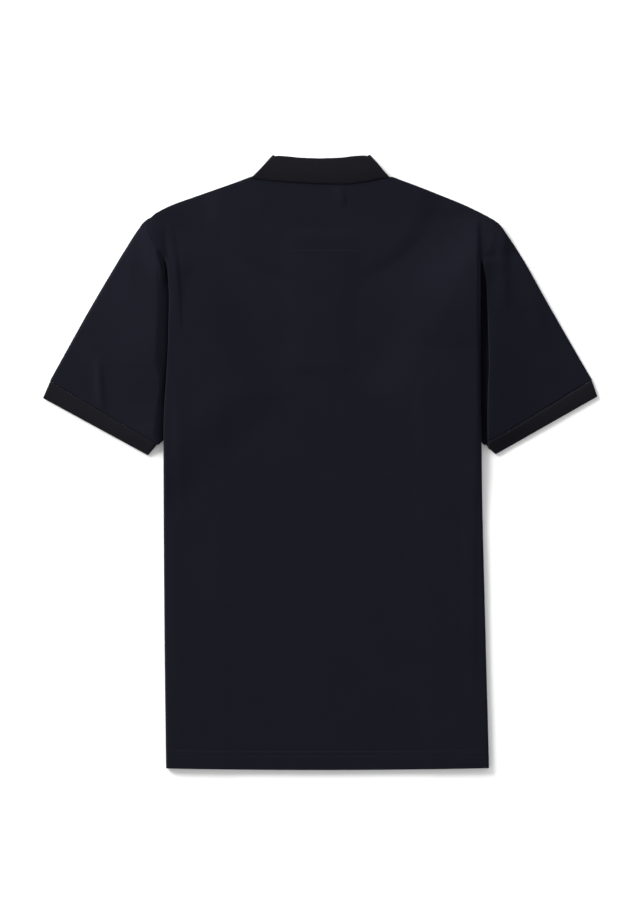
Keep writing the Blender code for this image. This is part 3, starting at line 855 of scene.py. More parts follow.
def panel_point(panel, side, across, facts):
    """Place of a panel's point and its place on the flat cut. Across runs 0 to 1 over the placket's
    half width, to 2 at the neck point, to 3 at the fold, to 4 round it and to 5 along the flap."""
    level = back_level if panel == "back" else front_level
    neck_x = NECK_POINT[side][0]
    centre = facts["centre"]
    if across <= 3:
        if across <= 1:
            x = top_x = across * SLIT_X
        elif across <= 2:
            x = top_x = lerp(SLIT_X, neck_x, across - 1)
        else:
            x = lerp(neck_x, centre, across - 2)
            top_x = lerp(neck_x, facts["tip_centre"], across - 2)
        y = row_y(panel, side, facts, x, top_x)
        relief = full_relief(panel, side, x, y, panel_top(panel, side, top_x) - y)
        z = max(FLOOR_LEVEL, level(x, y, centre - x) + relief)
        return Vector((SIGN[side] * x, y, z)), (SIGN[side] * x, y)

    radius, angle = facts["radius"], facts["angle"]
    arc, flap = radius * angle, facts["flap"]
    even = arc * (across - 3) / 2
    wide = arc * (across - 3) if across <= 4 else arc + flap * (across - 4)
    length = lerp(even, wide, smooth(0.0, FLAP_BLEND, flap))
    part = min(1.0, length / arc)
    y = row_y(panel, side, facts, centre, lerp(facts["tip_centre"], facts["tip_x"], part))
    top_gap = back_top(side, facts["tip_x"]) - y
    if length > arc + 1e-9:
        inward = length - arc
        x = centre - inward
        flap_level = FLOOR_LEVEL if panel == "back" else FLOOR_LEVEL + LAYER
        joined = smooth(flap - SIDE_SEAM_RUN, flap, inward) * SIDE_SEAM_MEET
        flap_level += joined if panel == "back" else -joined
        z = flap_level + SLEEVE_RISE * sleeve_lift(inward, y)
    else:
        turned = angle * part
        level_part = math.cos(turned)
        power = facts["power"]
        x = centre + radius * math.sin(turned) ** power
        edge_level = back_level(centre, y, 0.0) - facts["back_radius"]
        relief = full_relief(panel, side, x, y, top_gap)
        height = math.copysign(abs(level_part) ** power, level_part)
        z = max(FLOOR_LEVEL, edge_level + radius * height + relief * (1 + level_part) / 2)
    return Vector((SIGN[side] * x, y, z)), (SIGN[side] * (centre + length), y)


back_middle = panel_point("back", "left", 1.5, row_facts("back", "left", (0.0, 0.0)))[0]
print("a point of the back, mm:", [round(1000 * part, 1) for part in back_middle])

# %% [markdown]
# A grid starts as the plain sheet that `bmesh.ops.create_grid` makes. Each of its points knows its
# column and row from where it lies in that sheet, so moving it is one call of the place function.


# %% Grid, wall and riding
def cloth_grid(columns, rows, place, closed=False, keep=None):
    """A grid moved into place. place(column, row) gives a point and its place on the flat cut."""
    work = bmesh.new()
    weave = work.loops.layers.uv.new("Weave")
    across, along = len(columns) - 1, len(rows) - 1
    bmesh.ops.create_grid(work, x_segments=across, y_segments=along, size=0.5)
    flat = {}
    for vert in work.verts:
        i = round((vert.co.x + 0.5) * across)
        j = round((vert.co.y + 0.5) * along)
        vert.co, flat[vert] = place(columns[i], rows[j])
    for face in work.faces:
        for loop in face.loops:
            loop[weave].uv = flat[loop.vert]
    if keep:
        gone = [face for face in work.faces if not keep(face.calc_center_median())]
        bmesh.ops.delete(work, geom=gone, context="FACES")
    if closed:
        bmesh.ops.remove_doubles(work, verts=work.verts, dist=1e-6)
    return work


def finish_piece(name, work, material, nodes=(), wall=0.0, rounded=0.0):
    """Turns a bmesh into a piece of the shirt that rides with it and stands for its solids. A wall
    thickens its cloth, and rounded is the width of the soft edge round that wall's rim."""
    mesh = mesh_of(name, work)
    mesh.materials.append(material)
    mesh.shade_smooth()
    piece = add_object(name, mesh)
    if wall:
        solidify = piece.modifiers.new("Wall", "SOLIDIFY")
        solidify.thickness = wall
        solidify.offset = 0.0
    if rounded:
        bevel = piece.modifiers.new("Rim", "BEVEL")
        bevel.width = rounded
        bevel.segments = 2
        bevel.limit_method = "ANGLE"
        bevel.angle_limit = math.radians(55)
    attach(piece, "root")
    if nodes:
        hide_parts(*nodes)
    print(name, "has", len(mesh.polygons), "faces before its wall")
    return piece


# %% Back and front panels
SPACING = {"back": 1.0, "front": 1.5}
RIM_ROUND = 0.0003


def body_columns(scale):
    """Marks across half a panel, from the centre line to the cut edge."""
    neck = marks(0.0, (1.0, 0.25 * scale), (1.18, 0.056 * scale), (1.38, 0.018 * scale))
    neck += marks(neck[-1], (2.0, 0.056 * scale))[1:]
    side = marks(2.0, (2.68, 0.032 * scale), (2.86, 0.018 * scale), (3.0, 0.009 * scale))
    return neck + side[1:] + marks(3.0, (4.0, 0.1), (5.0, 0.06 * scale))[1:]


def body_rows(scale):
    """Rows from the hem to the fold's top, close at the hem's stitches, then up the armhole."""
    hem = marks(HEM_Y, (HEM_Y + 0.028, 0.0013 * scale), (PLACKET_FOOT_Y, 0.004 * scale))
    lower = hem + marks(PLACKET_FOOT_Y, (FOLD_TOP_Y, 0.0036 * scale))[1:]
    upper = marks(0.0, (0.97, 0.035 * scale), (1.0, 0.01))[1:]
    return [(y, 0.0) for y in lower] + [(FOLD_TOP_Y, share) for share in upper]


def body_panel(panel, keep=None):
    scale = SPACING[panel]
    half = body_columns(scale)
    columns = [("left", mark) for mark in half[:0:-1]] + [("right", mark) for mark in half]
    facts = {}

    def place(column, row):
        side, across = column
        if (side, row) not in facts:
            facts[side, row] = row_facts(panel, side, row)
        return panel_point(panel, side, across, facts[side, row])

    work = cloth_grid(columns, body_rows(scale), place, keep=keep)
    return finish_piece(f"{panel}_panel", work, pique, [panel], PIQUE_WALL, RIM_ROUND)


def outside_placket(middle):
    return abs(middle.x) > SLIT_X or middle.y < PLACKET_FOOT_Y


back = body_panel("back")
front = body_panel("front", keep=outside_placket)

# %% [markdown]
# ## The sleeves
# A sleeve is a tube pressed flat: a top layer, a bottom layer and a fold along each edge. It starts
# at the armhole, which is partly hidden under the body, and ends at the cuff. Beside the body its
# top layer stands up in a soft crest, and the hollow between crest and body stays in shadow.

# %% Sizes of the sleeves
SLEEVE_LEVEL = FLOOR_LEVEL + 0.00003
SLEEVE_TURN = LAYER / 2
EDGE_INSET = SLEEVE_TURN + 0.0006
PUFF = 0.0008
SLEEVE_WAVE = 0.0002
SEAM_LAP = 0.0002
SLEEVE_OUT = Vector((0.857, 0.515))
SEAM_TURNS = 0.16
SEAM_RISES = 0.17
SEAM_RUN = 0.2
LOWER_RUN = 0.05  # the lower layer comes down to the floor sooner near the fold
LOWER_RUN_GROWS = (0.3, 0.9)
INSET_RUN = 0.06
CREST_JOINS = 0.06
RELIEF_ENDS = (0.1, 0.03)
SHOWN_RUN = 0.004
CUFF_DIP = 0.6
SEEN_LENGTH = 0.2
TRIES = 240
CROWD = ((5, 0.005), (3, 0.003))  # how dense the lines are at the crest and its foot, and how far
SEAM_EASE = 0.0005
SEAM_EASE_RUN = 0.03
ARMHOLE_DIP = {"left": 0.0, "right": 1.0}
SEAM_JOINS = (0.226, 0.25)

# The lines along a sleeve: where each starts on the armhole, as a share of the way from the pit up
# to the fold's top and then on to the shoulder tip, and where it meets the cuff.
SLEEVE_LINES = table(
    "line hidden_share seen_share cuff_share",
    (0, 0, 0, 0),
    (0.1, 0.33, 0, 0.014),
    (0.2, 0.67, 0, 0.028),
    (0.3, 1, 0, 0.042),
    (0.4, 1, 0.19, 0.06),
    (0.5, 1, 0.38, 0.11),
    (0.6, 1, 0.52, 0.27),
    (0.7, 1, 0.65, 0.44),
    (0.8, 1, 0.78, 0.63),
    (0.9, 1, 0.9, 0.82),
    (1, 1, 1, 1),
    plain="line hidden_share seen_share cuff_share",
)
SLEEVE_BOW = table(
    "share left right",
    (0, 0, 0),
    (0.05, 3.6, 1.8),
    (0.14, 4.6, 3.1),
    (0.24, 4.8, 3.5),
    (0.5, 4.2, 1.8),
    (0.9, 1, 0.2),
    (1, 0, 0),
    plain="share",
)
CUFFS = {
    "left": {
        "seam_outer": (0.3295, 0.0985),
        "seam_inner": (0.1985, 0.0217),
        "end_outer": (0.3379, 0.0788),
        "end_inner": (0.2095, 0.0087),
    },
    "right": {
        "seam_outer": (0.3312, 0.1),
        "seam_inner": (0.2018, 0.0212),
        "end_outer": (0.338, 0.0807),
        "end_inner": (0.2137, 0.0099),
    },
}
line_shares = curves(SLEEVE_LINES)
sleeve_bow = dict(zip(SIGN, curves(SLEEVE_BOW)))


def armhole_plan(side, y):
    """Distance from the centre line of the sleeve's armhole seam, hidden or beside the body."""
    share = armhole_share(side, y)
    hidden = fold_centre(side, min(y, FOLD_TOP_Y), math.pi) - flap_width(y)
    beside = body_edge[side](y) - SEAM_LAP
    return lerp(hidden, beside, smooth(0.0, SEAM_TURNS, share))


def armhole_rise(side, y):
    """How far the visible armhole seam stands above a sleeve that lies flat."""
    share = armhole_share(side, y)
    edge = body_edge[side](y)
    level = back_level(edge, y, 0.0) + shape_relief("back", side, edge, y, 1.0)
    return (level - FLOOR_LEVEL - LAYER) * smooth(SEAM_RISES, OPENED_SHARE, share)


tip_rise = armhole_rise("left", SHOULDER_TIP["left"][1])
print("left armhole seam above a flat sleeve, mm:", round(1000 * tip_rise, 1))


# %% Place of a point on a sleeve
def sleeve_plan(side, line, share):
    """Plan of a point on a sleeve, and the height of the armhole at its line's start."""
    cuff = CUFFS[side]
    inner, outer = Vector(cuff["seam_inner"]), Vector(cuff["seam_outer"])
    hidden, seen, at_cuff = (share_at(line) for share_at in line_shares)
    tip_y = SHOULDER_TIP[side][1]
    seam_y = lerp(PIT_Y, FOLD_TOP_Y, hidden) + (tip_y - EDGE_INSET - FOLD_TOP_Y) * seen
    start = Vector((armhole_plan(side, seam_y), seam_y))
    outwards = sleeve_bow[side](share) + SEAM_EASE * smooth(0.0, SEAM_EASE_RUN, share)
    outwards -= EDGE_INSET * smooth(0.0, INSET_RUN, share)
    plan = start.lerp(inner.lerp(outer, at_cuff), share) + SLEEVE_OUT * outwards * at_cuff
    return plan, seam_y, at_cuff


def spread_lines(side, share, count):
    """Marks across the sleeve for one row, crowded where the crest turns."""
    weights = []
    for i in range(TRIES):
        start, plan, end = (sleeve_plan(side, (i + part) / TRIES, share)[0] for part in (0, 0.5, 1))
        foot, rim = (fact(plan.y) for fact in crest_facts[side][:2])
        out = body_gap(side, plan.x, plan.y) + BODY_CLEARANCE - foot
        dense = 1.0
        for away, (more, reach) in zip((out - rim - CREST_LEAN[side] / 2, out), CROWD):
            dense += more * math.exp(-((away / reach) ** 2))
        weights.append((end - start).length * dense + 2e-5)
    total = sum(weights)
    found, reached, i = [0.0], 0.0, 0
    for mark in range(1, count):
        goal = total * mark / count
        while reached + weights[i] < goal:
            reached += weights[i]
            i += 1
        found.append((i + (goal - reached) / weights[i]) / TRIES)
    return found + [1.0]


LINES_ACROSS = 110
SLEEVE_STEP = 0.011


def sleeve_grid(side):
    """A closed tube, up its bottom layer, round the outer fold, back along the top and down."""
    rows = marks(0.0, (0.02, 0.007), (0.96, SLEEVE_STEP), (1.0, 0.008))
    lines = {share: spread_lines(side, share, LINES_ACROSS) for share in rows}
    along = (Vector(CUFFS[side]["seam_outer"]) - Vector(CUFFS[side]["seam_inner"])).normalized()
    columns = [("bottom", i) for i in range(LINES_ACROSS + 1)] + [("outer", 0)]
    columns += [("top", i) for i in range(LINES_ACROSS, -1, -1)] + [("inner", 0), ("bottom", 0)]

    def layer_points(line, share):
        plan, seam_y, at_cuff = sleeve_plan(side, line, share)
        seam_lift = armhole_rise(side, seam_y)
        lift = seam_lift * (1 - smooth(0.0, SEAM_RUN, share))
        lower_run = lerp(LOWER_RUN, SEAM_RUN, smooth(*LOWER_RUN_GROWS, armhole_share(side, seam_y)))
        lower_lift = seam_lift * (1 - smooth(0.0, lower_run, share))
        bottom = Vector((plan.x, plan.y, SLEEVE_LEVEL + lower_lift))
        rise, lean = crest_shape(side, plan.x, plan.y)
        at_seam = (1 - smooth(0.0, CREST_JOINS, share)) * smooth(*SEAM_JOINS, seam_y)
        rise *= lerp(1.0, crest_shared(side, seam_y), at_seam)
        signed = SIGN[side] * plan.x
        relief = creases_at(f"sleeve_{side}", signed, plan.y) + SLEEVE_WAVE * wave(signed, plan.y, 7.0)
        ends = smooth(0.0, RELIEF_ENDS[0], share) * smooth(0.0, RELIEF_ENDS[1], 1 - share)
        gap = body_gap(side, plan.x, plan.y)
        shown = smooth(0.0, SHOWN_RUN, gap) if plan.y < FOLD_TOP_Y else 1.0
        puff = PUFF * math.sin(math.pi * share) * math.sin(math.pi * at_cuff)
        length = (plan - Vector((armhole_plan(side, seam_y), seam_y))).length
        dips = ARMHOLE_DIP[side] * seam_dip(length) + CUFF_DIP * seam_dip((1 - share) * SEEN_LENGTH)
        z = SLEEVE_LEVEL + LAYER + lift + puff + rise + relief * ends * shown + dips * shown
        return bottom, Vector((plan.x - lean, plan.y, z))

    def place(column, share):
        kind, i = column
        line = lines[share][{"outer": LINES_ACROSS, "inner": 0}.get(kind, i)]
        bottom, top = layer_points(line, share)
        if kind in ("outer", "inner"):
            other = lines[share][LINES_ACROSS - 3 if kind == "outer" else 3]
            across = (bottom.xy - layer_points(other, share)[0].xy).normalized()
            edge = bottom.xy + across * SLEEVE_TURN
            point = Vector((edge.x, edge.y, (bottom.z + top.z) / 2))
        else:
            point = bottom if kind == "bottom" else top
        flat = (point.xy.dot(along), point.xy.dot(Vector((-along.y, along.x))))
        return Vector((SIGN[side] * point.x, point.y, point.z)), flat

    return cloth_grid(columns, rows, place, closed=True)


for side in SIGN:
    work = sleeve_grid(side)
    sleeve = finish_piece(f"sleeve_{side}_tube", work, pique, [f"sleeve_{side}"], PIQUE_WALL)

# %% [markdown]
# ## The cuffs
# Each cuff is a narrow rib tube, sewn to the end of its sleeve and pressed flat with it. The wales
# run along the arm.

# %% Cuffs
CUFF_TURN = 0.0009
CUFF_LEVEL = RIB_WALL / 2 + 0.00008
CUFF_STEPS = 110
CUFF_REACH = 1.03
CUFF_BULGE = 0.0004
CUFF_WAVE = 0.0002
FOLD_STEPS = 4


def cuff_grid(side):
    cuff = {name: Vector(spot) for name, spot in CUFFS[side].items()}
    width = (cuff["seam_outer"] - cuff["seam_inner"]).length
    depth = (cuff["end_outer"] - cuff["seam_outer"]).length
    steps = [("bottom", i / CUFF_STEPS) for i in range(CUFF_STEPS + 1)]
    steps += [("outer", i / FOLD_STEPS) for i in range(1, FOLD_STEPS)]
    steps += [("top", 1 - i / CUFF_STEPS) for i in range(CUFF_STEPS + 1)]
    steps += [("inner", i / FOLD_STEPS) for i in range(1, FOLD_STEPS)] + [("bottom", 0.0)]

    def place(step, share):
        kind, part = step
        reach = lerp(SEAM_GAP / depth, CUFF_REACH, share)
        inner = cuff["seam_inner"].lerp(cuff["end_inner"], reach)
        outer = cuff["seam_outer"].lerp(cuff["end_outer"], reach)
        inset = (CUFF_TURN + RIB_WALL / 2) / (outer - inner).length
        at = {"outer": 1.0, "inner": 0.0}.get(kind, part)
        plan = inner.lerp(outer, lerp(inset, 1 - inset, at))
        z = CUFF_LEVEL if kind == "bottom" else CUFF_LEVEL + 2 * CUFF_TURN
        rise, lean = crest_shape(side, plan.x, plan.y)
        topmost = 1.0 if kind == "top" else 0.0
        if kind in ("outer", "inner"):
            turned = math.pi * part
            sign = 1 if kind == "outer" else -1
            plan = plan + (outer - inner).normalized() * sign * CUFF_TURN * math.sin(turned)
            z = CUFF_LEVEL + CUFF_TURN - sign * CUFF_TURN * math.cos(turned)
            topmost = (1 - sign * math.cos(turned)) / 2
        if kind == "top":
            edge = 0.6 * seam_dip(share * depth) + 0.5 * seam_dip((1 - share) * depth)
            bulge = CUFF_BULGE * math.sin(math.pi * share)
            z += edge + bulge + CUFF_WAVE * wave(plan.x * 2, plan.y * 2, 17.0)
        topmost *= 1 - smooth(0.0, 1.0, share)
        z += rise * topmost
        plan = plan - Vector((lean * topmost, 0.0))
        return Vector((SIGN[side] * plan.x, plan.y, z)), (at * width, share * depth)

    return cloth_grid(steps, marks(0.0, (1.0, 0.09)), place, closed=True)


for side in SIGN:
    cuff = finish_piece(f"cuff_{side}_tube", cuff_grid(side), rib, [f"cuff_{side}"], RIB_WALL)

# %% [markdown]
# ## The collar
# The collar is one rib strip. It stands up from the neck seam, rolls over and falls back on itself.
# At each side of the neck it is pressed into a crease, and its two leaves lie under the front.

# %% Stations along the collar
STAND_RADIUS = 0.00095
FALL_RADIUS = 0.0028
CREASE_LEVEL = FALL_RADIUS + 0.00065 + 0.00003
STAND_HEIGHT = 0.03
FALL_CROWN = 0.0003
FALL_RESTS = 0.0009  # how far the fall's edge comes down onto the back
COLLAR_BACK = {
    "left": table(
        "seam_x roll_x roll_y edge_x edge_y",
        (0, 0, 368.8, 0, 339.8),
        (30, 24, 369.7, 30, 341.4),
        (54, 42, 371.5, 56, 343.4),
        (69, 52, 372.1, 73, 345.4),
    ),
    "right": table(
        "seam_x roll_x roll_y edge_x edge_y",
        (0, 0, 368.8, 0, 339.8),
        (30, 24, 369.7, 30, 339.4),
        (56, 43, 371.9, 56, 342.4),
        (74, 54, 372.6, 74, 346.2),
    ),
}
COLLAR_CREASE = {
    "left": {"seam": (0.0732, 0.352), "roll": (0.0559, 0.3717), "edge": (0.0731, 0.3524)},
    "right": {"seam": (0.0802, 0.3485), "roll": (0.0589, 0.372), "edge": (0.0794, 0.3482)},
}
COLLAR_CORNER = {"left": (0.0838, 0.3463), "right": (0.0842, 0.3474)}  # the fall's own corner
LEAF = table(
    "share stand_angle reach reach_angle",
    (0.035, 92, 49, -38),
    (0.15, 103, 40, -37),
    (0.33, 120, 29, -39),
    (0.5, 134, 20, -45),
    (0.65, 143, 17, -37),
    (0.8, 150, 14, -30),
    (0.9, 152, 9, -28),
    (0.95, 142, 4, -35),
    plain="share stand_angle reach_angle",
)
leaf_curves = curves(LEAF)


def back_station(side, seam_x):
    """Seam, roll line and fall's edge behind the neck, with the side's own table."""
    found = [curve(seam_x) for curve in curves(COLLAR_BACK[side])]
    seam = Vector((seam_x, back_top(side, seam_x)))
    return seam, Vector(found[:2]), Vector(found[2:])


def crease_station(side, turn=math.pi):
    """The station at the side crease. Its upper layer reaches out to the fall's corner."""
    seam, roll, edge = (Vector(COLLAR_CREASE[side][name]) for name in ("seam", "roll", "edge"))
    return seam, roll, Vector(COLLAR_CORNER[side]).lerp(edge, smooth(0.0, math.pi / 3, turn))


def leaf_station(side, share):
    """Seam, roll line and point of the leaf that lies under the front."""
    stand_angle, reach, reach_angle = (curve(share) for curve in leaf_curves)
    turn, fall = math.radians(stand_angle), math.radians(reach_angle)
    x = NECK_POINT[side][0] * share
    along = Vector((math.cos(turn), math.sin(turn)))
    seam = Vector((x, front_top(side, x)))
    down = Vector((math.cos(fall), math.sin(fall)))
    return seam, seam + along * STAND_HEIGHT, seam + down * reach


def collar_stations(side):
    """From the centre back round the side crease to the leaf's end, each with its turn."""
    rows = COLLAR_BACK[side]["seam_x"]
    found = [(*back_station(side, x), 0.0) for x in marks(0.0, (rows[-1], 0.0032))]
    last = found[-1][:3]
    for share in (0.35, 0.7):
        found.append((*(a.lerp(b, share) for a, b in zip(last, crease_station(side, 0.0))), 0.0))
    turns = [math.pi * i / 16 for i in range(17)]
    found += [(*crease_station(side, turn), turn) for turn in turns]
    first = leaf_station(side, 0.95)
    found.append((*(a.lerp(b, 0.5) for a, b in zip(crease_station(side), first)), math.pi))
    found += [(*leaf_station(side, share), math.pi) for share in reversed(marks(0.035, (0.95, 0.045)))]
    return found


print("stations on the left half:", len(collar_stations("left")))


# %% Place of a point on the collar
SECTION = [("stand", i / 5) for i in range(6)] + [("roll", i / 6) for i in range(1, 6)]
SECTION += [("fall", i / 8) for i in range(9)]


def collar_point(side, station, mark):
    """A point of the hairpin section: up the stand, over the roll line, down the fall."""
    seam, roll, edge, turn = station
    kind, part = mark
    crease = crease_station(side)
    up = (crease[1] - crease[0]).normalized()
    out = Vector((up.y, -up.x))
    if kind == "stand":
        plan, radius = seam.lerp(roll, part), STAND_RADIUS
    elif kind == "fall":
        plan, radius = roll.lerp(edge, part), FALL_RADIUS
        crown = FALL_CROWN * math.sin(math.pi * part) - FALL_RESTS * smooth(0.55, 1.0, part)
        radius += crown * (1 + math.cos(turn)) / 2
    else:
        over = ((roll - seam).normalized() - (edge - roll).normalized()).normalized()
        half = (FALL_RADIUS - STAND_RADIUS) / 2
        plan = roll + over * half * math.sin(math.pi * part)
        radius = (STAND_RADIUS + FALL_RADIUS) / 2 - half * math.cos(math.pi * part)
    shifted = plan + out * radius * math.sin(turn)
    return Vector((SIGN[side] * shifted.x, shifted.y, CREASE_LEVEL + radius * math.cos(turn)))


def reaches(points):
    """How far along a line of points each of them is."""
    found = [0.0]
    for before, after in zip(points, points[1:]):
        found.append(found[-1] + (after - before).length)
    return found


def collar_grid():
    halves = {side: collar_stations(side) for side in SIGN}
    columns = [("left", i) for i in range(len(halves["left"]) - 1, 0, -1)]
    columns += [("right", i) for i in range(len(halves["right"]))]
    lengths = {"stand": (0.0, STAND_HEIGHT), "roll": (STAND_HEIGHT, 0.003), "fall": (0.033, 0.034)}
    reached = {}
    for side, stations in halves.items():
        reached[side] = reaches([collar_point(side, station, ("stand", 0.0)) for station in stations])

    def place(column, mark):
        side, i = column
        start, run = lengths[mark[0]]
        point = collar_point(side, halves[side][i], mark)
        return point, (SIGN[side] * reached[side][i], start + run * mark[1])

    return cloth_grid(columns, SECTION, place)


collar = finish_piece("collar_strip", collar_grid(), rib, ["collar"], RIB_WALL, RIM_ROUND)

# %% [markdown]
# ## The placket
# The front opens in a placket: two narrow strips, one behind the other, in a slit at the centre.
# It faces the floor, so only a view from below shows it. Each strip is a thin grid whose edges
# curl a little, and the upper strip has a small box of stitches at its foot.

# %% Placket strips
TAPE_WALL = 0.001
STRIP_LEVELS = {"over": 0.0028, "under": 0.0041}
STRIP_EDGE_CURL = 0.00012
STRIP_WAVE = 0.00006
LINE_INSET = 0.0035  # from a strip's edge to its row of stitches


def strip_grid(level):
    half = PLACKET_WIDTH / 2
    foot, head = PLACKET_FOOT_Y + SEAM_GAP, NECK_FRONT_Y - SEAM_GAP

    def place(x, y):
        edge = smooth(half - 0.003, half, abs(x))
        line = stitch_dip(half - LINE_INSET - abs(x)) + stitch_dip(y - foot - LINE_INSET)
        z = level + STRIP_EDGE_CURL * edge - 0.5 * line + STRIP_WAVE * wave(4 * x, y, 29.0)
        return Vector((x, y, z)), (x, y)

    return cloth_grid(marks(-half, (half, 0.001)), marks(foot, (head, 0.0025)), place)


for name, level in STRIP_LEVELS.items():
    work = strip_grid(level)
    strip = finish_piece(f"placket_{name}_strip", work, pique, [f"placket_{name}"], TAPE_WALL)

# %% [markdown]
# ## The buttons
# A shirt button is a small turned disc with a raised rim and four holes. The rim is the profile of
# a spin. The holes go right through, so a Boolean modifier cuts four small cylinders out of it.

# %% Button
BUTTON_HEIGHT = 0.002
BUTTON_YS = [0.2535 - 0.05 * i for i in range(3)]
HOLE_RADIUS = 0.00065
HOLE_OFFSET = 0.00115
BUTTON_SIDES = 48

# From the face's middle, over the rim and round to the back's middle: radius and height.
BUTTON_OUTLINE = table(
    "radius height",
    (0, 0.45),
    (3, 0.45),
    (3.85, 0.3),
    (4.3, 0.08),
    (4.8, 0),
    (5.3, 0.1),
    (5.65, 0.45),
    (5.75, 0.85),
    (5.65, 1.3),
    (5.2, 1.75),
    (4.4, 2),
    (0, 2),
)


def add_peg(work, place, depth, radius, top_radius):
    """A short round peg that stands on end."""
    sizes = {"segments": 16, "radius1": radius, "radius2": top_radius, "depth": depth}
    bmesh.ops.create_cone(work, cap_ends=True, matrix=Matrix.Translation(place), **sizes)


def button_disc(centre_y):
    """A turned disc, face down, with a sunk middle. Its holes are cut later."""
    work = bmesh.new()
    rows = zip(*BUTTON_OUTLINE.values())
    outline = [work.verts.new((radius, 0.0, height)) for radius, height in rows]
    edges = [work.edges.new(pair) for pair in zip(outline, outline[1:])]
    spin = {"cent": (0, 0, 0), "axis": (0, 0, 1), "angle": 2 * math.pi, "steps": BUTTON_SIDES}
    bmesh.ops.spin(work, geom=outline + edges, use_merge=True, use_duplicate=False, **spin)
    bmesh.ops.remove_doubles(work, verts=work.verts, dist=1e-6)
    bmesh.ops.recalc_face_normals(work, faces=work.faces)
    bmesh.ops.translate(work, verts=work.verts, vec=(0.0, centre_y, 0.0))
    return work


def hole_cutter(centre_y):
    """Four pegs where the holes go."""
    work = bmesh.new()
    for i in range(4):
        turn = math.pi / 4 + math.pi / 2 * i
        across, along = (part * HOLE_OFFSET * math.sqrt(2) for part in (math.cos(turn), math.sin(turn)))
        spot = (across, centre_y + along, BUTTON_HEIGHT / 2)
        add_peg(work, spot, 2 * BUTTON_HEIGHT, HOLE_RADIUS, HOLE_RADIUS)
    return work


def cut_holes(work, centre_y):
    """Takes four holes out of a button with the Boolean modifier's exact solver."""
    meshes = [mesh_of("button_step", made) for made in (work, hole_cutter(centre_y))]
    disc, cutter = (add_object("button_step", mesh) for mesh in meshes)
    boolean = disc.modifiers.new("Holes", "BOOLEAN")
    boolean.operation = "DIFFERENCE"
    boolean.object = cutter
    depsgraph = bpy.context.evaluated_depsgraph_get()
    depsgraph.update()
    cut = bmesh.new()
    cut.from_mesh(disc.evaluated_get(depsgraph).to_mesh())
    for made, mesh in zip((disc, cutter), meshes):
        bpy.data.objects.remove(made, do_unlink=True)
        bpy.data.meshes.remove(mesh)
    return cut


for i, spot_y in enumerate(BUTTON_YS):
    holed = cut_holes(button_disc(spot_y), spot_y)
    made = finish_piece(f"button_{i + 1}_disc", holed, button_resin, [f"button_{i + 1}"])
    made.data.set_sharp_from_angle(angle=math.radians(40))

# %% [markdown]
# ## Stitches
# A stitch is a grain of thread half sunk in the cloth. One row is many copies of a low-sided
# sphere, stretched along the row and laid on the cloth, and the rows of each set join into one
# mesh, so each set costs a single object.

# %% Stitch helpers
STITCH_SINK = 0.35
STITCH_RADIUS = 0.00022
STITCH_FLATTENS = 0.8
STITCH_FLOOR = 0.0002
FACING = {"back": 1, "front": -1}


def lay_stitch(work, start, end, radius):
    """One stitch between two points of the cloth's face."""
    along = end - start
    turn = along.to_track_quat("X", "Z").to_matrix().to_4x4()
    size = Matrix.Diagonal((along.length / 2, radius, radius * STITCH_FLATTENS, 1.0))
    spot = Matrix.Translation((start + end) / 2)
    bmesh.ops.create_uvsphere(work, u_segments=6, v_segments=5, radius=1.0, matrix=spot @ turn @ size)


def stitch_row(work, face, length, pitch, fill=0.82, radius=STITCH_RADIUS):
    """Stitches at an even pitch along face(distance), which gives points of the cloth's face."""
    count = max(1, round(length / pitch))
    for i in range(count):
        start = face(length * (i + (1 - fill) / 2) / count)
        end = face(length * (i + (1 + fill) / 2) / count)
        lay_stitch(work, start, end, radius)


def panel_face(panel, side, across, lower_y):
    """A point of a body panel's outer face, half a wall off its middle and above the floor."""

    def middle(across, y):
        return panel_point(panel, side, across, row_facts(panel, side, (y, 0.0)))[0]

    here, beside = middle(across, lower_y), middle(across + 0.002, lower_y)
    above = middle(across, lower_y + 0.0005)
    outwards = (beside - here).cross(above - here).normalized() * SIGN[side] * FACING[panel]
    point = here + outwards * (PIQUE_WALL / 2 + STITCH_SINK * STITCH_RADIUS)
    return Vector((point.x, point.y, max(point.z, STITCH_FLOOR)))


def row_along(panel, side, lower_y, end_across, steps=160):
    """Distances along a panel's row, to place stitches at an even pitch."""
    places = [end_across * i / steps for i in range(steps + 1)]
    points = [panel_face(panel, side, across, lower_y) for across in places]
    reach = reaches(points)

    def face(distance):
        i = min(max(bisect.bisect_right(reach, distance) - 1, 0), steps - 1)
        share = (distance - reach[i]) / max(1e-9, reach[i + 1] - reach[i])
        return points[i].lerp(points[i + 1], share)

    return face, reach[-1]


# %% Hem stitches
HEM_PITCH = 0.0034
HEM_ENDS_ACROSS = 4.9  # on the flap, just short of its edge
HEM_THREAD = (0.00012, 0.00019)  # the lower row has sunk deeper into the cloth
hem = bmesh.new()
for panel in FACING:
    for side in SIGN:
        for line, radius in zip(HEM_STITCH_Y, HEM_THREAD):
            face, length = row_along(panel, side, line, HEM_ENDS_ACROSS)
            stitch_row(hem, face, length, HEM_PITCH, radius=radius)
finish_piece("hem_stitches", hem, thread)

# %% [markdown]
# The upper back carries a plain row of tacking, a hand's width long, which holds the yoke's tape
# inside.

# %% Tacking on the upper back
TACK_Y = 0.2576
TACK_FROM, TACK_TO = -0.0356, 0.0498
TACK_PITCH = 0.0036
TACK_RADIUS = 0.0002


def back_face(x, y):
    """The back's upper face in the middle of the body."""
    side = "left" if x < 0 else "right"
    inward = fold_centre(side, FOLD_TOP_Y, math.pi) - abs(x)
    z = back_level(abs(x), y, inward) + shape_relief("back", side, abs(x), y, 1.0)
    return Vector((x, y, z + PIQUE_WALL / 2 + STITCH_SINK * TACK_RADIUS))


def tack_face(distance):
    return back_face(TACK_FROM + distance, TACK_Y)


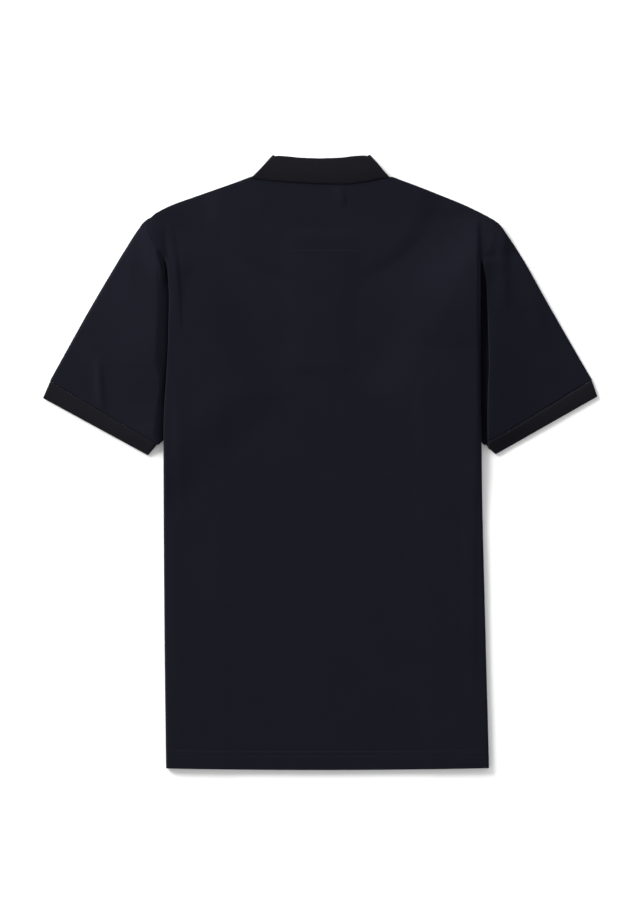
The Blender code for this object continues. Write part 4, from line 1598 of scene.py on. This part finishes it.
tacking = bmesh.new()
stitch_row(tacking, tack_face, TACK_TO - TACK_FROM, TACK_PITCH, 0.8, TACK_RADIUS)
finish_piece("tacking_stitches", tacking, thread)

# %% [markdown]
# The placket faces the floor. Its upper strip is held by a row of stitches along each side and a
# box at its foot, and each buttonhole is a slot between two bars of close stitches.

# %% Placket stitches and buttonholes
STRIP_FACE = STRIP_LEVELS["over"] - TAPE_WALL / 2
BUTTONHOLE_LENGTH = 0.0135
BUTTONHOLE_PITCH = 0.0007
BUTTONHOLE_BARS = (-0.0012, 0.0003)
BAR_WIDTH = 0.0009
BAR_THREAD = 0.00028
BOX_HEIGHT = 0.025
LINE_PITCH = 0.003
LINE_THREAD = 0.00018
LINE_SINK = 0.00005


def strip_face(x, y):
    return Vector((x, y, STRIP_FACE - LINE_SINK))


def strip_line(work, x0, y0, x1, y1):
    """Stitches on the upper strip from one place to another."""
    start, end = strip_face(x0, y0), strip_face(x1, y1)
    length = (end - start).length
    stitch_row(work, lambda d: start.lerp(end, d / length), length, LINE_PITCH, radius=LINE_THREAD)


placket_work = bmesh.new()
line_x = PLACKET_WIDTH / 2 - LINE_INSET
foot_y = PLACKET_FOOT_Y + LINE_INSET
for x in (-line_x, line_x):
    strip_line(placket_work, x, foot_y, x, NECK_FRONT_Y - 0.002)
for y in (foot_y, foot_y + BOX_HEIGHT):
    strip_line(placket_work, -line_x, y, line_x, y)
for centre_y in BUTTON_YS:
    for mark in marks(-BUTTONHOLE_LENGTH / 2, (BUTTONHOLE_LENGTH / 2, BUTTONHOLE_PITCH)):
        for x in BUTTONHOLE_BARS:
            start, end = strip_face(x, centre_y + mark), strip_face(x + BAR_WIDTH, centre_y + mark)
            lay_stitch(placket_work, start, end, BAR_THREAD)
finish_piece("placket_stitches", placket_work, thread)

# %% [markdown]
# Two turns of thread cross each button's holes, and a short neck of thread joins it through its
# buttonhole to the strip behind.

# %% Button threads
THREAD_RADIUS = 0.00026
THREAD_HEIGHT = 0.00036
NECK_RADIUS = 0.0011
NECK_TAPER = 0.8
thread_work = bmesh.new()
for centre_y in BUTTON_YS:
    for x in (-HOLE_OFFSET, HOLE_OFFSET):
        start = Vector((x, centre_y - HOLE_OFFSET, THREAD_HEIGHT))
        end = Vector((x, centre_y + HOLE_OFFSET, THREAD_HEIGHT))
        lay_stitch(thread_work, start, end, THREAD_RADIUS)
    low_z, high_z = BUTTON_HEIGHT, STRIP_LEVELS["under"]
    spot = (0.0, centre_y, (low_z + high_z) / 2)
    add_peg(thread_work, spot, high_z - low_z, NECK_RADIUS, NECK_RADIUS * NECK_TAPER)
finish_piece("button_threads", thread_work, thread)
